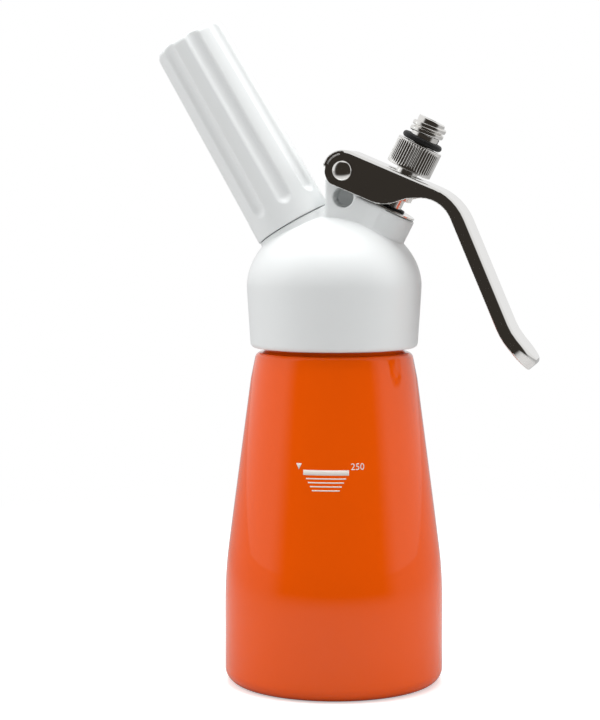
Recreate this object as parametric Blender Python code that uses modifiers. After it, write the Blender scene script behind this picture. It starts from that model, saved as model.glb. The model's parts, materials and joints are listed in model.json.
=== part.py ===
"""Whipped cream dispenser for a quarter of a litre, at its real size in metres.

An aluminium bottle carries a screwed-on head. On the head's right a hollow valve stem leans out of a
round neck; a sheet lever presses its hexagon nut and so opens the valve. On the left a fluted holder
pushes an 8 gram gas charger on to a piercing pin. +Z is up, +X points to the lever, and the origin is
the middle of the bottle's base.
"""
import math

import bmesh
import bpy
from mathutils import Matrix, Vector

mm = 0.001

# Fits
fit_gap = 0.3 * mm            # between pieces that touch, slide or turn on each other
cut_overrun = 1.0 * mm        # how far a cutter runs past the face it opens
weld_distance = 0.001 * mm    # within which the corners of one mesh are merged

# Bottle
bottle_radius = 37.0 * mm
bottle_wall = 1.4 * mm
base_fillet = 5.0 * mm
straight_height = 37.0 * mm
cone_height = 66.5 * mm
cone_top_radius = 28.1 * mm
shoulder_height = 6.6 * mm
shoulder_radius = 26.3 * mm
shoulder_round = 2.2 * mm
neck_radius = 23.4 * mm
neck_height = 16.6 * mm
neck_thread_pitch = 3.5 * mm
neck_thread_height = 0.9 * mm
neck_thread_width = 2.2 * mm
neck_thread_drop = 3.0 * mm   # below the bottle's rim
neck_thread_turns = 1.75

# Head
head_foot_gap = 1.5 * mm      # open ring between the bottle's shoulder and the head
head_radius = 29.4 * mm
head_foot_radius = 28.1 * mm
head_skirt_height = 21.2 * mm
head_foot_round = 1.6 * mm
dome_rise = 22.6 * mm
recess_radius = 16.5 * mm
recess_height = 7.2 * mm
gasket_thickness = 2.2 * mm
gasket_lip = 2.0 * mm         # how far the gasket reaches inside the bottle's mouth

# Valve neck and saddle block
valve_tilt = math.radians(26.6)
valve_drop = 11.7 * mm        # the valve's axis meets the bottle's axis this far below the dome's foot
valve_neck_reach = 41.3 * mm  # from that meeting point to the neck's top
valve_neck_radius = 9.6 * mm
block_width = 19.0 * mm
block_back = 6.2 * mm         # from the lever's pivot to the block's back face
block_step = 2.7 * mm         # the block's back corner lies this far below the pivot
relief_radius = 3.45 * mm
relief_drop = 8.7 * mm        # below the pivot
relief_web = 3.0 * mm         # left between the two blind holes

# Valve sleeve and its seals
sleeve_radius = 6.2 * mm
sleeve_length = 26.2 * mm     # below the neck's top
sleeve_flange_radius = 9.2 * mm
sleeve_flange_thickness = 0.6 * mm
chamber_wall = 0.9 * mm
seat_depth = 10.2 * mm        # from the neck's top down to the valve seat
flow_depth = 4.0 * mm         # height of the ring space above the seat
flow_gap = 0.8 * mm
wiper_width = 1.2 * mm
wiper_depth = 1.0 * mm        # how deep the wiper ring sits in the flange
wiper_height = 1.4 * mm
stem_seal_width = 1.2 * mm
stem_seal_height = 2.0 * mm
stem_seal_depth = 2.4 * mm    # below the neck's top

# Valve stem, nut and spring
stem_radius = 3.7 * mm
stem_bore_radius = 2.2 * mm
stem_flange_thickness = 1.2 * mm
stem_tail_radius = 2.9 * mm
stem_tail_length = 3.7 * mm
stem_port_radius = 1.1 * mm
valve_seal_thickness = 1.6 * mm
spring_wire = 0.8 * mm
spring_curls = 4
plug_thickness = 2.0 * mm
plug_hole_radius = 2.0 * mm
nut_flats = 10.0 * mm
nut_height = 6.5 * mm
nut_chamfer = 0.5 * mm
nut_chamfer_slope = math.radians(30)
nut_rise = 3.2 * mm           # free travel between the nut and the wiper ring
press_gap = 0.6 * mm          # lever plate above the nut, taken up by the plate's tilt as it swings

# Lever
lever_slope = math.radians(22.9)
lever_arm = 18.0 * mm         # from the pivot square to the valve's axis
lever_sheet = 1.4 * mm
lever_end_radius = 6.8 * mm
lever_lip = 1.2 * mm          # how far the folded end runs past the pivot's level
cheek_end_radius = 6.0 * mm   # round the pivot, under the folded end
cheek_foot = 5.65 * mm        # from the pivot down to the cheeks' lower edge
lever_edge_round = 1.8 * mm
plate_length = 30.15 * mm     # from above the pivot to the bend
bend_radius = 20.0 * mm
bend_angle = math.radians(44.1)
grip_length = 37.1 * mm
kick_radius = 20.0 * mm
kick_angle = math.radians(17.0)
tip_length = 9.7 * mm
tip_round = 8.0 * mm
cheek_length = 17.2 * mm
cheek_rise = 8.55 * mm
cheek_rise_angle = math.radians(42.0)
cheek_run_angle = math.radians(23.0)
cheek_foot_fillet = 11.9 * mm
cheek_top_fillet = 10.0 * mm
cheek_bend_fillet = 11.0 * mm
flange_depth = 4.55 * mm
slot_length = 13.0 * mm
slot_side_gap = 0.5 * mm
pin_radius = 2.0 * mm
pin_head_radius = 3.3 * mm
pin_head_height = 1.3 * mm

# Tip adapter
adapter_gap = 1.45 * mm       # between the lever's plate and the knurled ring
knurl_radius = 7.8 * mm
knurl_height = 9.2 * mm
knurl_depth = 0.4 * mm
knurl_rim = 0.7 * mm
knurl_count = 44
stem_engagement = 7.8 * mm
seal_ring_radius = 1.05 * mm  # section of the ring under the tip
seal_ring_stretch = 0.3 * mm
spigot_radius = 4.7 * mm
spigot_bore_radius = 2.6 * mm
spigot_length = 6.6 * mm
spigot_chamfer = 0.4 * mm      # of the outer and inner edge of its flat end
tip_thread_radius = 5.75 * mm
tip_thread_pitch = 2.0 * mm
tip_thread_width = 1.5 * mm

# Charger holder
holder_tilt = math.radians(30.3)
holder_drop = 3.65 * mm       # the holder's axis meets the bottle's axis below the dome's foot
holder_reach = 27.5 * mm      # from that meeting point to the holder's rim
holder_length = 72.4 * mm
holder_rim_radius = 13.4 * mm
holder_top_radius = 12.4 * mm
holder_top_round = 2.0 * mm
holder_rim_round = 0.6 * mm
holder_roof = 3.4 * mm
charger_radius = 9.0 * mm
charger_play = 0.5 * mm
flute_count = 8
flute_width = 5.4 * mm
flute_depth = 1.0 * mm
flute_start = 6.5 * mm
flute_turn = math.radians(-71.5)   # of the flute that faces the front, about the holder's axis
pad_thickness = 3.4 * mm
socket_depth = 9.6 * mm
socket_wall = 2.1 * mm
holder_sleeve_wall = 0.9 * mm

# Charger stud in the head
boss_radius = 13.1 * mm
boss_joint = 0.5 * mm         # open line between the holder's rim and the boss
stud_spigot_length = 8.4 * mm
stud_flange_radius = 11.0 * mm
stud_flange_thickness = 2.6 * mm
stud_pocket_depth = 3.2 * mm
stud_body_radius = 6.5 * mm
stud_body_length = 5.2 * mm
stud_tail_radius = 4.5 * mm
stud_tail_length = 11.5 * mm
charger_neck_radius = 4.8 * mm
stud_bore_depth = 15.9 * mm   # from the stud's top down to the piercing pin's seat
gas_passage_radius = 1.2 * mm
pin_body_height = 3.7 * mm
needle_radius = 0.9 * mm
needle_length = 4.0 * mm
stud_seal_height = 2.0 * mm
stud_nut_flats = 11.4 * mm
stud_nut_height = 3.0 * mm
spot_face_radius = 7.2 * mm
check_valve_radius = 4.6 * mm
check_valve_height = 2.7 * mm

# Smoothness of the round pieces
large_steps = 40
medium_steps = 24
small_steps = 16
neck_thread_points = 28       # per turn, as in the two below
tip_thread_points = 20
spring_points = 12
wire_resolution = 1
edge_segments = 2
arc_step = math.radians(20.0)
crease_angle = math.radians(60)
smooth_angle = math.radians(35)
fillet_room_share = 0.999     # of the straight side between two rounded corners

# Heights along the bottle's axis
shoulder_z = straight_height + cone_height + shoulder_height + shoulder_round
rim_z = shoulder_z + neck_height
head_foot_z = shoulder_z + head_foot_gap
dome_foot_z = head_foot_z + head_skirt_height
dome_top_z = dome_foot_z + dome_rise
gasket_z = rim_z + fit_gap
ceiling_z = gasket_z + gasket_thickness + fit_gap
recess_z = ceiling_z + recess_height
skirt_bore_radius = neck_radius + neck_thread_height + fit_gap

# Places along the valve's axis, from the valve neck's top
flange_top = fit_gap + sleeve_flange_thickness
wiper_seat = flange_top - wiper_depth
wiper_top = wiper_seat + fit_gap + wiper_height
nut_foot = wiper_top + nut_rise
nut_top = nut_foot + nut_height
plate_top = nut_top + press_gap + lever_sheet
adapter_foot = plate_top + adapter_gap
adapter_top = adapter_foot + knurl_height
stem_top = adapter_foot + stem_engagement
spigot_top = adapter_top + 2 * seal_ring_radius + fit_gap + spigot_length
chamber_radius = sleeve_radius - chamber_wall
stem_fit_radius = stem_radius + fit_gap
flow_radius = stem_radius + flow_gap
seal_top = -seat_depth - fit_gap
stem_flange_top = seal_top - valve_seal_thickness - fit_gap
stem_flange_foot = stem_flange_top - stem_flange_thickness
stem_flange_radius = chamber_radius - fit_gap

# The lever's pivot, from the valve's axis and the stack of pieces on it
plate_lean = valve_tilt - lever_slope
pivot_rise = plate_top - (lever_end_radius + lever_arm * math.sin(plate_lean)) / math.cos(plate_lean)
cheek_inside = valve_neck_radius + fit_gap
cheek_outside = cheek_inside + lever_sheet
lug_radius = lever_end_radius - lever_sheet - fit_gap

# Places along the holder's axis, from the holder's rim
boss_top = -boss_joint
stud_flange_top = boss_top - fit_gap
stud_flange_foot = stud_flange_top - stud_flange_thickness
stud_top = stud_flange_top + stud_spigot_length
stud_seat = stud_top - stud_bore_depth
stud_body_foot = stud_flange_foot - stud_body_length
stud_foot = stud_body_foot - stud_tail_length
pocket_floor = boss_top - stud_pocket_depth
holder_inner_top = holder_length - holder_roof
holder_sleeve_radius = holder_rim_radius - socket_wall - fit_gap
stud_crest_radius = holder_sleeve_radius - holder_sleeve_wall - fit_gap
check_valve_top = stud_foot - fit_gap
stud_nut_foot = stud_foot + fit_gap
spot_face = stud_nut_foot + stud_nut_height + fit_gap


def axis_frame(origin, tilt):
    """Frame whose local Z leans from the vertical by tilt towards +X, with local Y along the world's."""
    return Matrix.Translation(origin) @ Matrix.Rotation(tilt, 4, "Y")


valve_frame = axis_frame((0, 0, dome_foot_z - valve_drop), valve_tilt)
valve_frame = valve_frame @ Matrix.Translation((0, 0, valve_neck_reach))
holder_frame = axis_frame((0, 0, dome_foot_z - holder_drop), -holder_tilt)
holder_frame = holder_frame @ Matrix.Translation((0, 0, holder_reach))
pivot = valve_frame @ Vector((-lever_arm, 0, pivot_rise))
# A side view stands local Y upright and points local Z to the front
side_view = Matrix.Rotation(math.pi / 2, 4, "X")
# The lever's side view: local X runs along its plate, local Y points up out of the plate
lever_frame = axis_frame(pivot, lever_slope) @ side_view


def clear_scene():
    """Remove whatever objects the scene starts with."""
    for thing in list(bpy.data.objects):
        bpy.data.objects.remove(thing, do_unlink=True)


def new_collection(name):
    """Add a collection to the scene."""
    collection = bpy.data.collections.new(name)
    bpy.context.scene.collection.children.link(collection)
    return collection


clear_scene()
pieces = new_collection("whipped_cream_dispenser")
cutters = new_collection("cutters")


def finish(name, colour, roughness, metallic):
    """Make a plain material."""
    material = bpy.data.materials.new(name)
    material.use_nodes = True
    shader = material.node_tree.nodes["Principled BSDF"]
    shader.inputs["Base Color"].default_value = (*colour, 1)
    shader.inputs["Roughness"].default_value = roughness
    shader.inputs["Metallic"].default_value = metallic
    return material


orange_paint = finish("orange_paint", (0.80, 0.10, 0.004), 0.22, 0.0)
white_plastic = finish("white_plastic", (0.80, 0.81, 0.80), 0.28, 0.0)
chromed_steel = finish("chromed_steel", (0.72, 0.71, 0.69), 0.12, 1.0)
nickel = finish("nickel", (0.66, 0.64, 0.60), 0.25, 1.0)
black_rubber = finish("black_rubber", (0.012, 0.012, 0.012), 0.45, 0.0)
silicone = finish("silicone", (0.55, 0.56, 0.55), 0.5, 0.0)
spring_steel = finish("spring_steel", (0.45, 0.45, 0.45), 0.3, 1.0)


def place(name, data, material=None, frame=None):
    """Put mesh or curve data in the scene: a piece if it has a material, otherwise a cutter."""
    thing = bpy.data.objects.new(name, data)
    thing.matrix_world = frame or Matrix()
    if material:
        data.materials.append(material)
        pieces.objects.link(thing)
    else:
        thing.hide_render = True
        thing.display_type = "WIRE"
        cutters.objects.link(thing)
    return thing


def boolean(target, tool, operation):
    """Join, cut or keep the overlap of a piece with a tool, as a live modifier."""
    modifier = target.modifiers.new(tool.name, "BOOLEAN")
    modifier.operation = operation
    modifier.object = tool


def join(target, tool):
    boolean(target, tool, "UNION")


def cut(target, tool):
    boolean(target, tool, "DIFFERENCE")


def arc(radius, start, end, centre=(0, 0)):
    """Points on an arc, both ends included, at steps of about arc_step."""
    count = max(2, round(abs(end - start) / arc_step))
    turns = [start + (end - start) * i / count for i in range(count + 1)]
    return [(centre[0] + radius * math.cos(a), centre[1] + radius * math.sin(a)) for a in turns]


def turned(name, profile, steps, material=None, frame=None, closed=False):
    """Turn a profile of (radius, height) points about local Z: outer side first, from the top down."""
    count = len(profile)
    edges = [(i, i + 1) for i in range(count - 1)]
    if closed:
        edges.append((count - 1, 0))
    mesh = bpy.data.meshes.new(name)
    mesh.from_pydata([(radius, 0, height) for radius, height in profile], edges, [])
    thing = place(name, mesh, material, frame)
    screw = thing.modifiers.new("turn", "SCREW")
    screw.steps = steps
    screw.render_steps = steps
    screw.use_merge_vertices = True
    screw.merge_threshold = weld_distance
    return thing


def ring(name, outer, inner, foot, top, steps, material=None, frame=None):
    """A plain ring of rectangular section."""
    profile = [(outer, top), (outer, foot), (inner, foot), (inner, top)]
    return turned(name, profile, steps, material, frame, closed=True)


def disc(name, radius, foot, top, steps, material=None, frame=None):
    """A plain cylinder."""
    return turned(name, [(0, top), (radius, top), (radius, foot), (0, foot)], steps, material, frame)


def cross_bore(name, radius, centre, near, far):
    """A cylinder along the world's Y through a point of the X and Z plane, for cutting or joining."""
    return disc(name, radius, near, far, small_steps, frame=Matrix.Translation(centre) @ side_view)


def prism(name, outline, half_width, material=None, frame=None):
    """Extrude a flat outline of local X and Y points to both sides along local Z."""
    shape = bmesh.new()
    corners = [shape.verts.new((x, y, -half_width)) for x, y in outline]
    face = shape.faces.new(corners)
    raised = bmesh.ops.extrude_face_region(shape, geom=[face])
    top = [item for item in raised["geom"] if isinstance(item, bmesh.types.BMVert)]
    bmesh.ops.translate(shape, verts=top, vec=(0, 0, 2 * half_width))
    bmesh.ops.recalc_face_normals(shape, faces=shape.faces)
    mesh = bpy.data.meshes.new(name)
    shape.to_mesh(mesh)
    shape.free()
    return place(name, mesh, material, frame)


def helix(name, radius, pitch, turns, foot, wire, points_per_turn, material=None, frame=None):
    """A round wire wound about local Z from its foot, as a mesh."""
    count = round(turns * points_per_turn)
    curve = bpy.data.curves.new(name, "CURVE")
    curve.dimensions = "3D"
    curve.bevel_depth = wire / 2
    curve.bevel_resolution = wire_resolution
    curve.use_fill_caps = True
    spline = curve.splines.new("POLY")
    spline.points.add(count)
    for i, point in enumerate(spline.points):
        angle = 2 * math.pi * turns * i / count
        height = foot + pitch * turns * i / count
        point.co = (radius * math.cos(angle), radius * math.sin(angle), height, 1)
    wound = place(name, curve, material, frame)
    return as_mesh(wound, material)


def as_mesh(thing, material=None):
    """Replace a curve object by a welded mesh in the same place."""
    bpy.context.view_layer.update()
    evaluated = thing.evaluated_get(bpy.context.evaluated_depsgraph_get())
    mesh = bpy.data.meshes.new_from_object(evaluated)
    shape = bmesh.new()
    shape.from_mesh(mesh)
    bmesh.ops.remove_doubles(shape, verts=shape.verts, dist=weld_distance)
    bmesh.ops.recalc_face_normals(shape, faces=shape.faces)
    shape.to_mesh(mesh)
    shape.free()
    mesh.materials.clear()
    name = thing.name
    frame = thing.matrix_world.copy()
    bpy.data.objects.remove(thing, do_unlink=True)
    return place(name, mesh, material, frame)


def hexagon(flats):
    """Corners of a hexagon, by its width across flats."""
    radius = flats / math.sqrt(3)
    return [(radius * math.cos(math.pi * i / 3), radius * math.sin(math.pi * i / 3)) for i in range(6)]


def nut(name, flats, foot, height, bore, chamfer, frame):
    """A hexagon nut with chamfered corners and a clear bore."""
    middle = frame @ Matrix.Translation((0, 0, foot + height / 2))
    piece = prism(name, hexagon(flats), height / 2, nickel, middle)
    corner = flats / math.sqrt(3) + cut_overrun
    half = height / 2
    flat = flats / 2 - chamfer
    slope_foot = half - (corner - flat) * math.tan(nut_chamfer_slope)
    profile = [(0, half + chamfer), (flat, half), (corner, slope_foot), (corner, -slope_foot)]
    profile += [(flat, -half), (0, -half - chamfer)]
    boolean(piece, turned(name + "_chamfer", profile, medium_steps, frame=middle), "INTERSECT")
    reach = half + chamfer + cut_overrun
    cut(piece, disc(name + "_bore", bore, -reach, reach, small_steps, frame=middle))
    return piece


def bottle_side(inset):
    """The bottle's wall from its rim down to its base, moved inwards by inset."""
    side = [(neck_radius - inset, rim_z), (neck_radius - inset, shoulder_z - inset)]
    steepness = math.atan2(cone_top_radius - shoulder_radius, shoulder_height)
    centre = (shoulder_radius - shoulder_round, shoulder_z - shoulder_round)
    side += arc(max(shoulder_round - inset, fit_gap), math.pi / 2, steepness, centre)
    side += [(cone_top_radius - inset, straight_height + cone_height)]
    side += [(bottle_radius - inset, straight_height)]
    centre = (bottle_radius - base_fillet, base_fillet)
    side += arc(base_fillet - inset, 0, -math.pi / 2, centre)
    return side


def make_bottle():
    """Drawn bottle: one thin wall, open at the threaded neck."""
    outside = bottle_side(0) + [(0, 0)]
    inside = [(0, bottle_wall)] + bottle_side(bottle_wall)[::-1]
    profile = outside + inside
    bottle = turned("bottle", profile, large_steps, orange_paint, closed=True)
    length = neck_thread_pitch * neck_thread_turns
    ridge_radius = neck_radius + neck_thread_height - neck_thread_width / 2
    ridge = helix("neck_thread", ridge_radius, neck_thread_pitch, neck_thread_turns,
                  rim_z - neck_thread_drop - length, neck_thread_width, neck_thread_points)
    join(bottle, ridge)


def make_head():
    """White head: dome and skirt, with the valve neck, the lever's saddle block and the charger boss."""
    dome = arc(1, math.pi / 2, 0)
    profile = [(head_radius * x, dome_foot_z + dome_rise * y) for x, y in dome]
    foot_centre = (head_foot_radius - head_foot_round, head_foot_z + head_foot_round)
    profile += arc(head_foot_round, 0, -math.pi / 2, foot_centre)
    profile += [(0, head_foot_z)]
    profile[0] = (0, dome_top_z)
    head = turned("head_body", profile, large_steps, white_plastic)
    # Outside: neck, block, lug and boss grow out of the dome
    root = -(valve_neck_reach - valve_drop) / 2
    join(head, disc("valve_neck", valve_neck_radius, root, 0, large_steps, frame=valve_frame))
    neck_corner = valve_frame @ Vector((-valve_neck_radius + fit_gap, 0, -fit_gap))
    neck_middle = valve_frame @ Vector((0, 0, -fit_gap))
    neck_root = valve_frame @ Vector((0, 0, root))
    root_z = (dome_top_z + recess_z) / 2
    back_x = pivot.x - block_back
    step_z = pivot.z - block_step
    block = [(back_x, root_z), (back_x, step_z), (pivot.x - lug_radius, step_z)]
    block += arc(lug_radius, math.pi, 0, (pivot.x, pivot.z))
    block += [(neck_corner.x, neck_corner.z), (neck_middle.x, neck_middle.z), (neck_root.x, root_z)]
    join(head, prism("saddle_block", block, block_width / 2, frame=side_view))
    boss_root = -holder_reach / 2
    join(head, disc("charger_boss", boss_radius, boss_root, boss_top, large_steps, frame=holder_frame))
    # Inside: bottle thread bore and recess, valve bore, stepped bore for the charger stud
    cavity = [(0, recess_z), (recess_radius, recess_z), (recess_radius, ceiling_z)]
    cavity += [(skirt_bore_radius, ceiling_z), (skirt_bore_radius, head_foot_z - cut_overrun)]
    cavity += [(0, head_foot_z - cut_overrun)]
    cut(head, turned("head_cavity", cavity, large_steps))
    body_floor = stud_body_foot - fit_gap
    spot_cut_foot = check_valve_top - check_valve_height - cut_overrun
    steps = [(0, boss_top + cut_overrun), (stud_flange_radius + fit_gap, boss_top + cut_overrun)]
    steps += [(stud_flange_radius + fit_gap, pocket_floor), (stud_body_radius + fit_gap, pocket_floor)]
    steps += [(stud_body_radius + fit_gap, body_floor), (stud_tail_radius + fit_gap, body_floor)]
    steps += [(stud_tail_radius + fit_gap, spot_face), (spot_face_radius, spot_face)]
    steps += [(spot_face_radius, spot_cut_foot), (0, spot_cut_foot)]
    cut(head, turned("stud_bore", steps, medium_steps, frame=holder_frame))
    valve_bore = sleeve_radius + fit_gap
    cut(head, disc("valve_bore", valve_bore, -sleeve_length - cut_overrun, cut_overrun, medium_steps,
                   frame=valve_frame))
    relief = pivot - Vector((0, 0, relief_drop))
    for side in (-1, 1):
        near, far = sorted((side * relief_web / 2, side * (block_width / 2 + cut_overrun)))
        cut(head, cross_bore("relief_hole", relief_radius, relief, near, far))
    reach = block_width / 2 + cut_overrun
    cut(head, cross_bore("pivot_hole", pin_radius + fit_gap, pivot, -reach, reach))


def make_head_gasket():
    """Ring that the head squeezes on the bottle's rim."""
    inner = neck_radius - bottle_wall - gasket_lip
    ring("head_gasket", skirt_bore_radius - fit_gap, inner, gasket_z, gasket_z + gasket_thickness,
         large_steps, silicone)


def make_valve_sleeve():
    """Metal sleeve that lines the valve neck: guide, seal groove, ring space, seat and spring chamber."""
    foot = -sleeve_length
    groove_top = -stem_seal_depth
    groove_foot = groove_top - stem_seal_height - 2 * fit_gap
    groove = stem_fit_radius + stem_seal_width
    wiper = stem_fit_radius + wiper_width + fit_gap
    profile = [(sleeve_flange_radius, flange_top), (sleeve_flange_radius, fit_gap)]
    profile += [(sleeve_radius, fit_gap), (sleeve_radius, foot)]
    profile += [(chamber_radius, foot), (chamber_radius, -seat_depth)]
    profile += [(flow_radius, -seat_depth), (flow_radius, -seat_depth + flow_depth)]
    profile += [(stem_fit_radius, -seat_depth + flow_depth), (stem_fit_radius, groove_foot)]
    profile += [(groove, groove_foot), (groove, groove_top), (stem_fit_radius, groove_top)]
    profile += [(stem_fit_radius, wiper_seat), (wiper, wiper_seat), (wiper, flange_top)]
    turned("valve_sleeve", profile, medium_steps, nickel, valve_frame, closed=True)
    seal_foot = groove_foot + fit_gap
    ring("stem_seal_ring", groove - fit_gap, stem_fit_radius, seal_foot, seal_foot + stem_seal_height,
         medium_steps, black_rubber, valve_frame)
    ring("wiper_ring", wiper - fit_gap, stem_fit_radius, wiper_seat + fit_gap, wiper_top, medium_steps,
         black_rubber, valve_frame)


def make_valve_stem():
    """Hollow stem with its sealing flange, side ports above the flange and a tail inside the spring."""
    tail = stem_flange_foot - stem_tail_length
    bore_foot = -seat_depth + stem_port_radius
    profile = [(0, bore_foot), (stem_bore_radius, bore_foot), (stem_bore_radius, stem_top)]
    profile += [(stem_radius, stem_top), (stem_radius, stem_flange_top)]
    profile += [(stem_flange_radius, stem_flange_top), (stem_flange_radius, stem_flange_foot)]
    profile += [(stem_tail_radius, stem_flange_foot), (stem_tail_radius, tail), (0, tail)]
    stem = turned("valve_stem", profile, medium_steps, nickel, valve_frame)
    port_height = bore_foot + stem_port_radius + fit_gap
    port_frame = valve_frame @ Matrix.Translation((0, 0, port_height)) @ side_view
    reach = stem_radius + cut_overrun
    cut(stem, disc("stem_port", stem_port_radius, -reach, reach, small_steps, frame=port_frame))
    ring("valve_seal", stem_flange_radius, stem_fit_radius, seal_top - valve_seal_thickness, seal_top,
         medium_steps, black_rubber, valve_frame)


def make_valve_spring():
    """Return spring under the stem's flange, and the plug that closes the sleeve below it."""
    coil_radius = chamber_radius - fit_gap - spring_wire / 2
    plug_top = plug_thickness - sleeve_length
    foot = plug_top + nut_rise + spring_wire / 2
    pitch = (stem_flange_foot - fit_gap - spring_wire / 2 - foot) / spring_curls
    helix("valve_spring", coil_radius, pitch, spring_curls, foot, spring_wire, spring_points,
          spring_steel, valve_frame)
    ring("spring_plug", chamber_radius - fit_gap, plug_hole_radius, -sleeve_length, plug_top,
         medium_steps, nickel, valve_frame)


def line_meet(point_a, heading_a, point_b, heading_b):
    """Where two lines of the plane, each a point and a heading, cross."""
    ax, ay = math.cos(heading_a), math.sin(heading_a)
    bx, by = math.cos(heading_b), math.sin(heading_b)
    dx, dy = point_b[0] - point_a[0], point_b[1] - point_a[1]
    along = (dx * by - dy * bx) / (ax * by - ay * bx)
    return (point_a[0] + ax * along, point_a[1] + ay * along)


def corner_reach(before, corner, after, radius):
    """How far along both sides of a corner the arc that rounds it starts."""
    back = Vector(before) - Vector(corner)
    onward = Vector(after) - Vector(corner)
    return radius / math.tan(back.angle(onward) / 2)


def fillet(before, corner, after, reach):
    """Points of the arc that rounds a corner, touching both sides at a distance from it."""
    back = (Vector(before) - Vector(corner)).normalized()
    onward = (Vector(after) - Vector(corner)).normalized()
    half = back.angle(onward) / 2
    radius = reach * math.tan(half)
    centre = Vector(corner) + (back + onward).normalized() * (reach / math.cos(half))
    start = Vector(corner) + back * reach - centre
    end = Vector(corner) + onward * reach - centre
    first = math.atan2(start.y, start.x)
    swing = math.remainder(math.atan2(end.y, end.x) - first, 2 * math.pi)
    return arc(radius, first, first + swing, centre)


def rounded(corners):
    """Open outline from (point, radius) corners. Neighbouring arcs shrink until both fit on their side."""
    points = [Vector(point) for point, _ in corners]
    reaches = [0.0]
    for before, (corner, radius), after in zip(points, corners[1:-1], points[2:]):
        reaches.append(corner_reach(before, corner, after, radius) if radius else 0.0)
    reaches.append(0.0)
    fits = [1.0] * len(corners)
    for i in range(len(corners) - 1):
        wanted = reaches[i] + reaches[i + 1]
        room = (points[i + 1] - points[i]).length * fillet_room_share
        fit = min(1.0, room / wanted) if wanted else 1.0
        fits[i] = min(fits[i], fit)
        fits[i + 1] = min(fits[i + 1], fit)
    outline = []
    for i, point in enumerate(points):
        if reaches[i]:
            outline += fillet(points[i - 1], point, points[i + 1], reaches[i] * fits[i])
        else:
            outline.append(tuple(point))
    return outline


def ahead(point, heading, distance):
    """The point at a distance along a heading."""
    return (point[0] + distance * math.cos(heading), point[1] + distance * math.sin(heading))


def lever_back(inset):
    """Corners of the lever's outer line in side view, from the pivot's end to the tip, moved inwards."""
    grip_heading = -bend_angle
    tip_heading = kick_angle - bend_angle
    bend = (plate_length + bend_radius * math.tan(bend_angle / 2), lever_end_radius)
    grip = bend_radius * math.tan(bend_angle / 2) + grip_length + kick_radius * math.tan(kick_angle / 2)
    kick = ahead(bend, grip_heading, grip)
    tip = ahead(kick, tip_heading, kick_radius * math.tan(kick_angle / 2) + tip_length)
    plate_side = (0, lever_end_radius - inset)
    grip_side = ahead(bend, grip_heading - math.pi / 2, inset)
    tip_side = ahead(tip, tip_heading - math.pi / 2, inset)
    bend_in = line_meet(plate_side, 0, grip_side, grip_heading)
    kick_in = line_meet(grip_side, grip_heading, tip_side, tip_heading)
    tip_in = ahead(tip_side, tip_heading, -inset)
    return [(bend_in, bend_radius - inset), (kick_in, kick_radius + inset), (tip_in, 0)]


def lever_side(inset, open_end):
    """Side view of the lever without its cheeks' lower edge, which a cutter trims."""
    end = lever_end_radius - inset
    deep = 2 * (plate_length + grip_length + tip_length)
    back = lever_back(inset)
    start = [((-end, -deep), 0)]
    if open_end:
        open_side = -2 * lever_end_radius
        start = [((open_side, -deep), 0), ((open_side, -lever_lip), 0), ((-end, -lever_lip), 0)]
    tip = back[-1][0]
    below_tip = ahead(tip, kick_angle - bend_angle - math.pi / 2, deep)
    return rounded(start + [((-end, end), end)] + back + [(below_tip, 0)])


def cheek_edge():
    """Lower edge of the cheeks in side view, closed far below, as the outline of what is cut away."""
    deep = 3 * (plate_length + grip_length + tip_length)
    grip_heading = -bend_angle
    tip_heading = kick_angle - bend_angle
    (bend, _), (kick, _), (tip, _) = lever_back(flange_depth)
    foot = (cheek_length, -cheek_foot)
    top = ahead(foot, cheek_rise_angle, cheek_rise)
    crest = line_meet(top, cheek_run_angle, bend, grip_heading)
    past_tip = ahead(kick, tip_heading, deep)
    turns = [math.pi + math.asin(drop / cheek_end_radius) for drop in (lever_lip, cheek_foot)]
    corners = [(point, 0) for point in arc(cheek_end_radius, *turns)]
    corners += [(foot, cheek_foot_fillet), (top, cheek_top_fillet), (crest, cheek_bend_fillet)]
    corners += [(kick, kick_radius + flange_depth), (past_tip, 0), ((past_tip[0], -deep), 0)]
    corners += [((-deep, -deep), 0), ((-deep, -lever_lip), 0)]
    return rounded(corners)


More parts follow.
